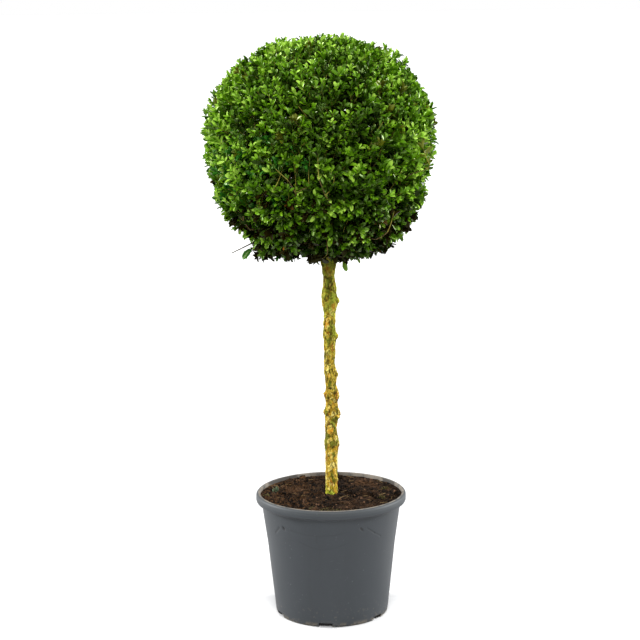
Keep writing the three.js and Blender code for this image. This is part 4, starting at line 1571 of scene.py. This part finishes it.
def leaves_of(shoot, line, level):
    """The leaves of one shoot: a list of place, growth, face, size and tint."""
    kind = SHOOT_KINDS[shoot["kind"]]
    segments = np.diff(line, axis=0)
    lengths = np.linalg.norm(segments, axis=1)
    along = np.concatenate([[0], np.cumsum(lengths)])
    total = along[-1]
    spread = rng.uniform(0.85, 1.2) * kind.apart
    any_turn = rng.uniform(0, math.pi)
    base_turn = any_turn if kind.turn is None else kind.turn
    spray = pick_tint(shoot, level)
    big = (1 - level) ** 0.7
    width, length = (top + (bottom - top) * big for top, bottom in zip(LEAF_TOP, LEAF_LOW))
    vigour = rng.uniform(0.82, 1.14)
    back = 0.0
    made = []
    for pair in range(kind.pairs):
        back += PAIR_GAPS[pair] * spread * MM
        at = total - back
        if at < total * (1 - kind.leafy * (0.70 + 0.30 * level ** 0.7)):
            break
        place = np.array([np.interp(at, along, line[:, axis]) for axis in range(3)])
        segment = min(int(np.searchsorted(along, at, side="right")) - 1, len(segments) - 1)
        axis = segments[segment] / lengths[segment]
        side = unit(np.cross(axis, kind.across))
        other = np.cross(axis, side)
        turn = base_turn + pair * math.pi / 2 + rng.normal(0, TURN_SCATTER)
        for half in (0, math.pi)[:kind.leaves]:
            out = side * math.cos(turn + half) + other * math.sin(turn + half)
            tilt = math.radians(PAIR_SPREAD[pair] + rng.normal(0, TILT_SCATTER))
            growth = axis * math.cos(tilt) + out * math.sin(tilt)
            growth = unit(growth + np.array([0, 0, 0.10]) + rng.normal(0, GROWTH_SCATTER, 3))
            face = axis * math.sin(tilt) - out * math.cos(tilt)
            face = unit(face + rng.normal(0, FACE_SCATTER, 3))
            size = PAIR_SIZES[pair] * shoot.get("size", kind.size) * vigour * rng.uniform(0.8, 1.2)
            # Tip pairs a step lighter and pairs deep in a step darker: partly how old the leaves
            # are, partly painted light at the tips and painted shade deeper in.
            age_and_shade_step = 1 if pair < 2 and shoot["kind"] != "inner" else 0 if pair < 5 else -1
            odd = int(rng.choice((-1, 0, 1), p=TINT_ODDS))
            tint = TINTS.index(stepped(spray, age_and_shade_step + odd))
            sizes = (width * size, length * size, length * size)
            made.append((place + out * LEAF_LIFT, growth, face, sizes, tint))
    return made


def leaf_points(name, leaves):
    """A mesh of loose points that carry each leaf's growth, face, size, tint and form."""
    places, growths, faces, sizes, tints = (np.array(column) for column in zip(*leaves))
    mesh = bpy.data.meshes.new(name)
    mesh.from_pydata(places.tolist(), [], [])
    for key, values in (("growth", growths), ("face", faces), ("size", sizes)):
        mark(mesh, key, values, "FLOAT_VECTOR")
    mark(mesh, "tint", tints, "INT")
    mark(mesh, "form", rng.integers(0, LEAF_FORMS, len(tints)), "INT")
    return mesh


for x, z, tint in WEATHERED:
    aside = [math.hypot(shoot["tip"][0] - x * MM, shoot["tip"][2] - z * MM)
             + 10 * (shoot["tip"][1] > 0 or shoot["kind"] != "clipped") for shoot in shoots]
    shoots[int(np.argmin(aside))]["tint"] = tint
templates = [leaf_object("leaf_cupped", 0.42, 0.06), leaf_object("leaf_flat", 0.22, 0.14),
             leaf_object("leaf_curled", 0.34, 0.22)]
leaf_materials = [leaf_finish(name, colour) for name, colour in LEAF_COLOURS.items()]
foliage = leaf_recipe(templates, leaf_materials)
sectors = [[] for _ in range(LEAF_PIECES)]
for (line, _), shoot in zip(shoot_lines, shoots):
    tip = shoot["tip"]
    level = float(np.clip(crown_level(tip[2]), 0, 1))
    turn = math.atan2(tip[1] - crown_centre[1], tip[0] - crown_centre[0]) % (2 * math.pi)
    sectors[int(turn / (2 * math.pi) * LEAF_PIECES) % LEAF_PIECES] += leaves_of(shoot, line, level)
for number, leaves in enumerate(sectors):
    name = f"leaves_{number + 1}"
    piece = grown(name, leaf_points(name, leaves), foliage, {"Leaf size": 1.0})
    strip_attributes(piece.data, ["growth", "face", "size", "tint", "form"])
    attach(piece, "root")
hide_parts("crown")
for leaf in templates:
    bpy.data.objects.remove(leaf)
bpy.data.objects.remove(crown_mesh)

# ----------------------------------------------------------------------------------------------
# The studio: a wide pale floor, a soft strong light on each side, a softer one above, a dim room
# that brightens at its horizon, and a camera above the pot's rim, which looks slightly down and is
# turned a little about its own axis.

FLOOR_SIZE = 600
FLOOR_PAINT = (0.92, 0.92, 0.92)
ROOM_LOW = (0.20, 0.20, 0.20)
ROOM_HIGH = (0.30, 0.31, 0.32)
ROOM_BRIGHT = (1.0, 1.0, 1.0)
ROOM_STOPS = [(0.0, ROOM_LOW), (0.46, ROOM_LOW), (0.49, ROOM_BRIGHT), (0.52, ROOM_BRIGHT),
              (0.62, ROOM_HIGH), (1.0, ROOM_HIGH)]
CAMERA_PLACE = (-0.0175, -3.2, 1.142)
CAMERA_PITCH = 10.22
CAMERA_ROLL = -0.6
CAMERA_LENS = 97.82

# Each light: its name, the way towards it, its softness in degrees and its power.
STUDIO_LIGHTS = [
    ("left_light", (-0.90, 0.22, 0.42), 14, 3.3),
    ("right_light", (0.92, 0.22, 0.40), 16, 3.1),
    ("front_light", (0.03, -0.72, 0.69), 25, 2.2),
]


def studio_floor():
    """The floor shows in the picture, but its light doesn't reach the underside of the crown."""
    half = FLOOR_SIZE / 2
    corners = [(-half, -half, 0), (half, -half, 0), (half, half, 0), (-half, half, 0)]
    floor = new_piece("studio_floor", corners, [(0, 1, 2, 3)])
    floor.data.materials.append(Finish("studio_floor", FLOOR_PAINT).made(roughness=0.95))
    floor.visible_diffuse = False


def studio_light(name, towards, softness, power):
    lamp = bpy.data.lights.new(name, "SUN")
    lamp.angle = math.radians(softness)
    lamp.energy = power
    placed(name, lamp).rotation_euler = Vector(towards).to_track_quat("Z", "Y").to_euler()


def studio_room():
    world = bpy.data.worlds.new("studio")
    world.use_nodes = True
    room = Wiring(world.node_tree)
    way = room.node("ShaderNodeTexCoord", output="Generated")
    level = room.node("ShaderNodeSeparateXYZ", None, {0: way}, output=2) * 0.5 + 0.5
    colour = room.node("ShaderNodeValToRGB", {"stops": ROOM_STOPS}, {0: level})
    room.feed(world.node_tree.nodes["Background"].inputs["Color"], colour)
    bpy.context.scene.world = world


def studio_camera():
    lens = bpy.data.cameras.new("camera")
    lens.lens = CAMERA_LENS
    lens.sensor_width = 36
    lens.clip_end = FLOOR_SIZE
    camera = placed("camera", lens)
    camera.location = CAMERA_PLACE
    pitched = Matrix.Rotation(math.radians(90 - CAMERA_PITCH), 3, "X")
    rolled = Matrix.Rotation(math.radians(CAMERA_ROLL), 3, "Z")
    camera.rotation_euler = (pitched @ rolled).to_euler()
    bpy.context.scene.camera = camera


studio_floor()
for light in STUDIO_LIGHTS:
    studio_light(*light)
studio_room()
studio_camera()
bpy.context.scene.view_settings.view_transform = "Standard"
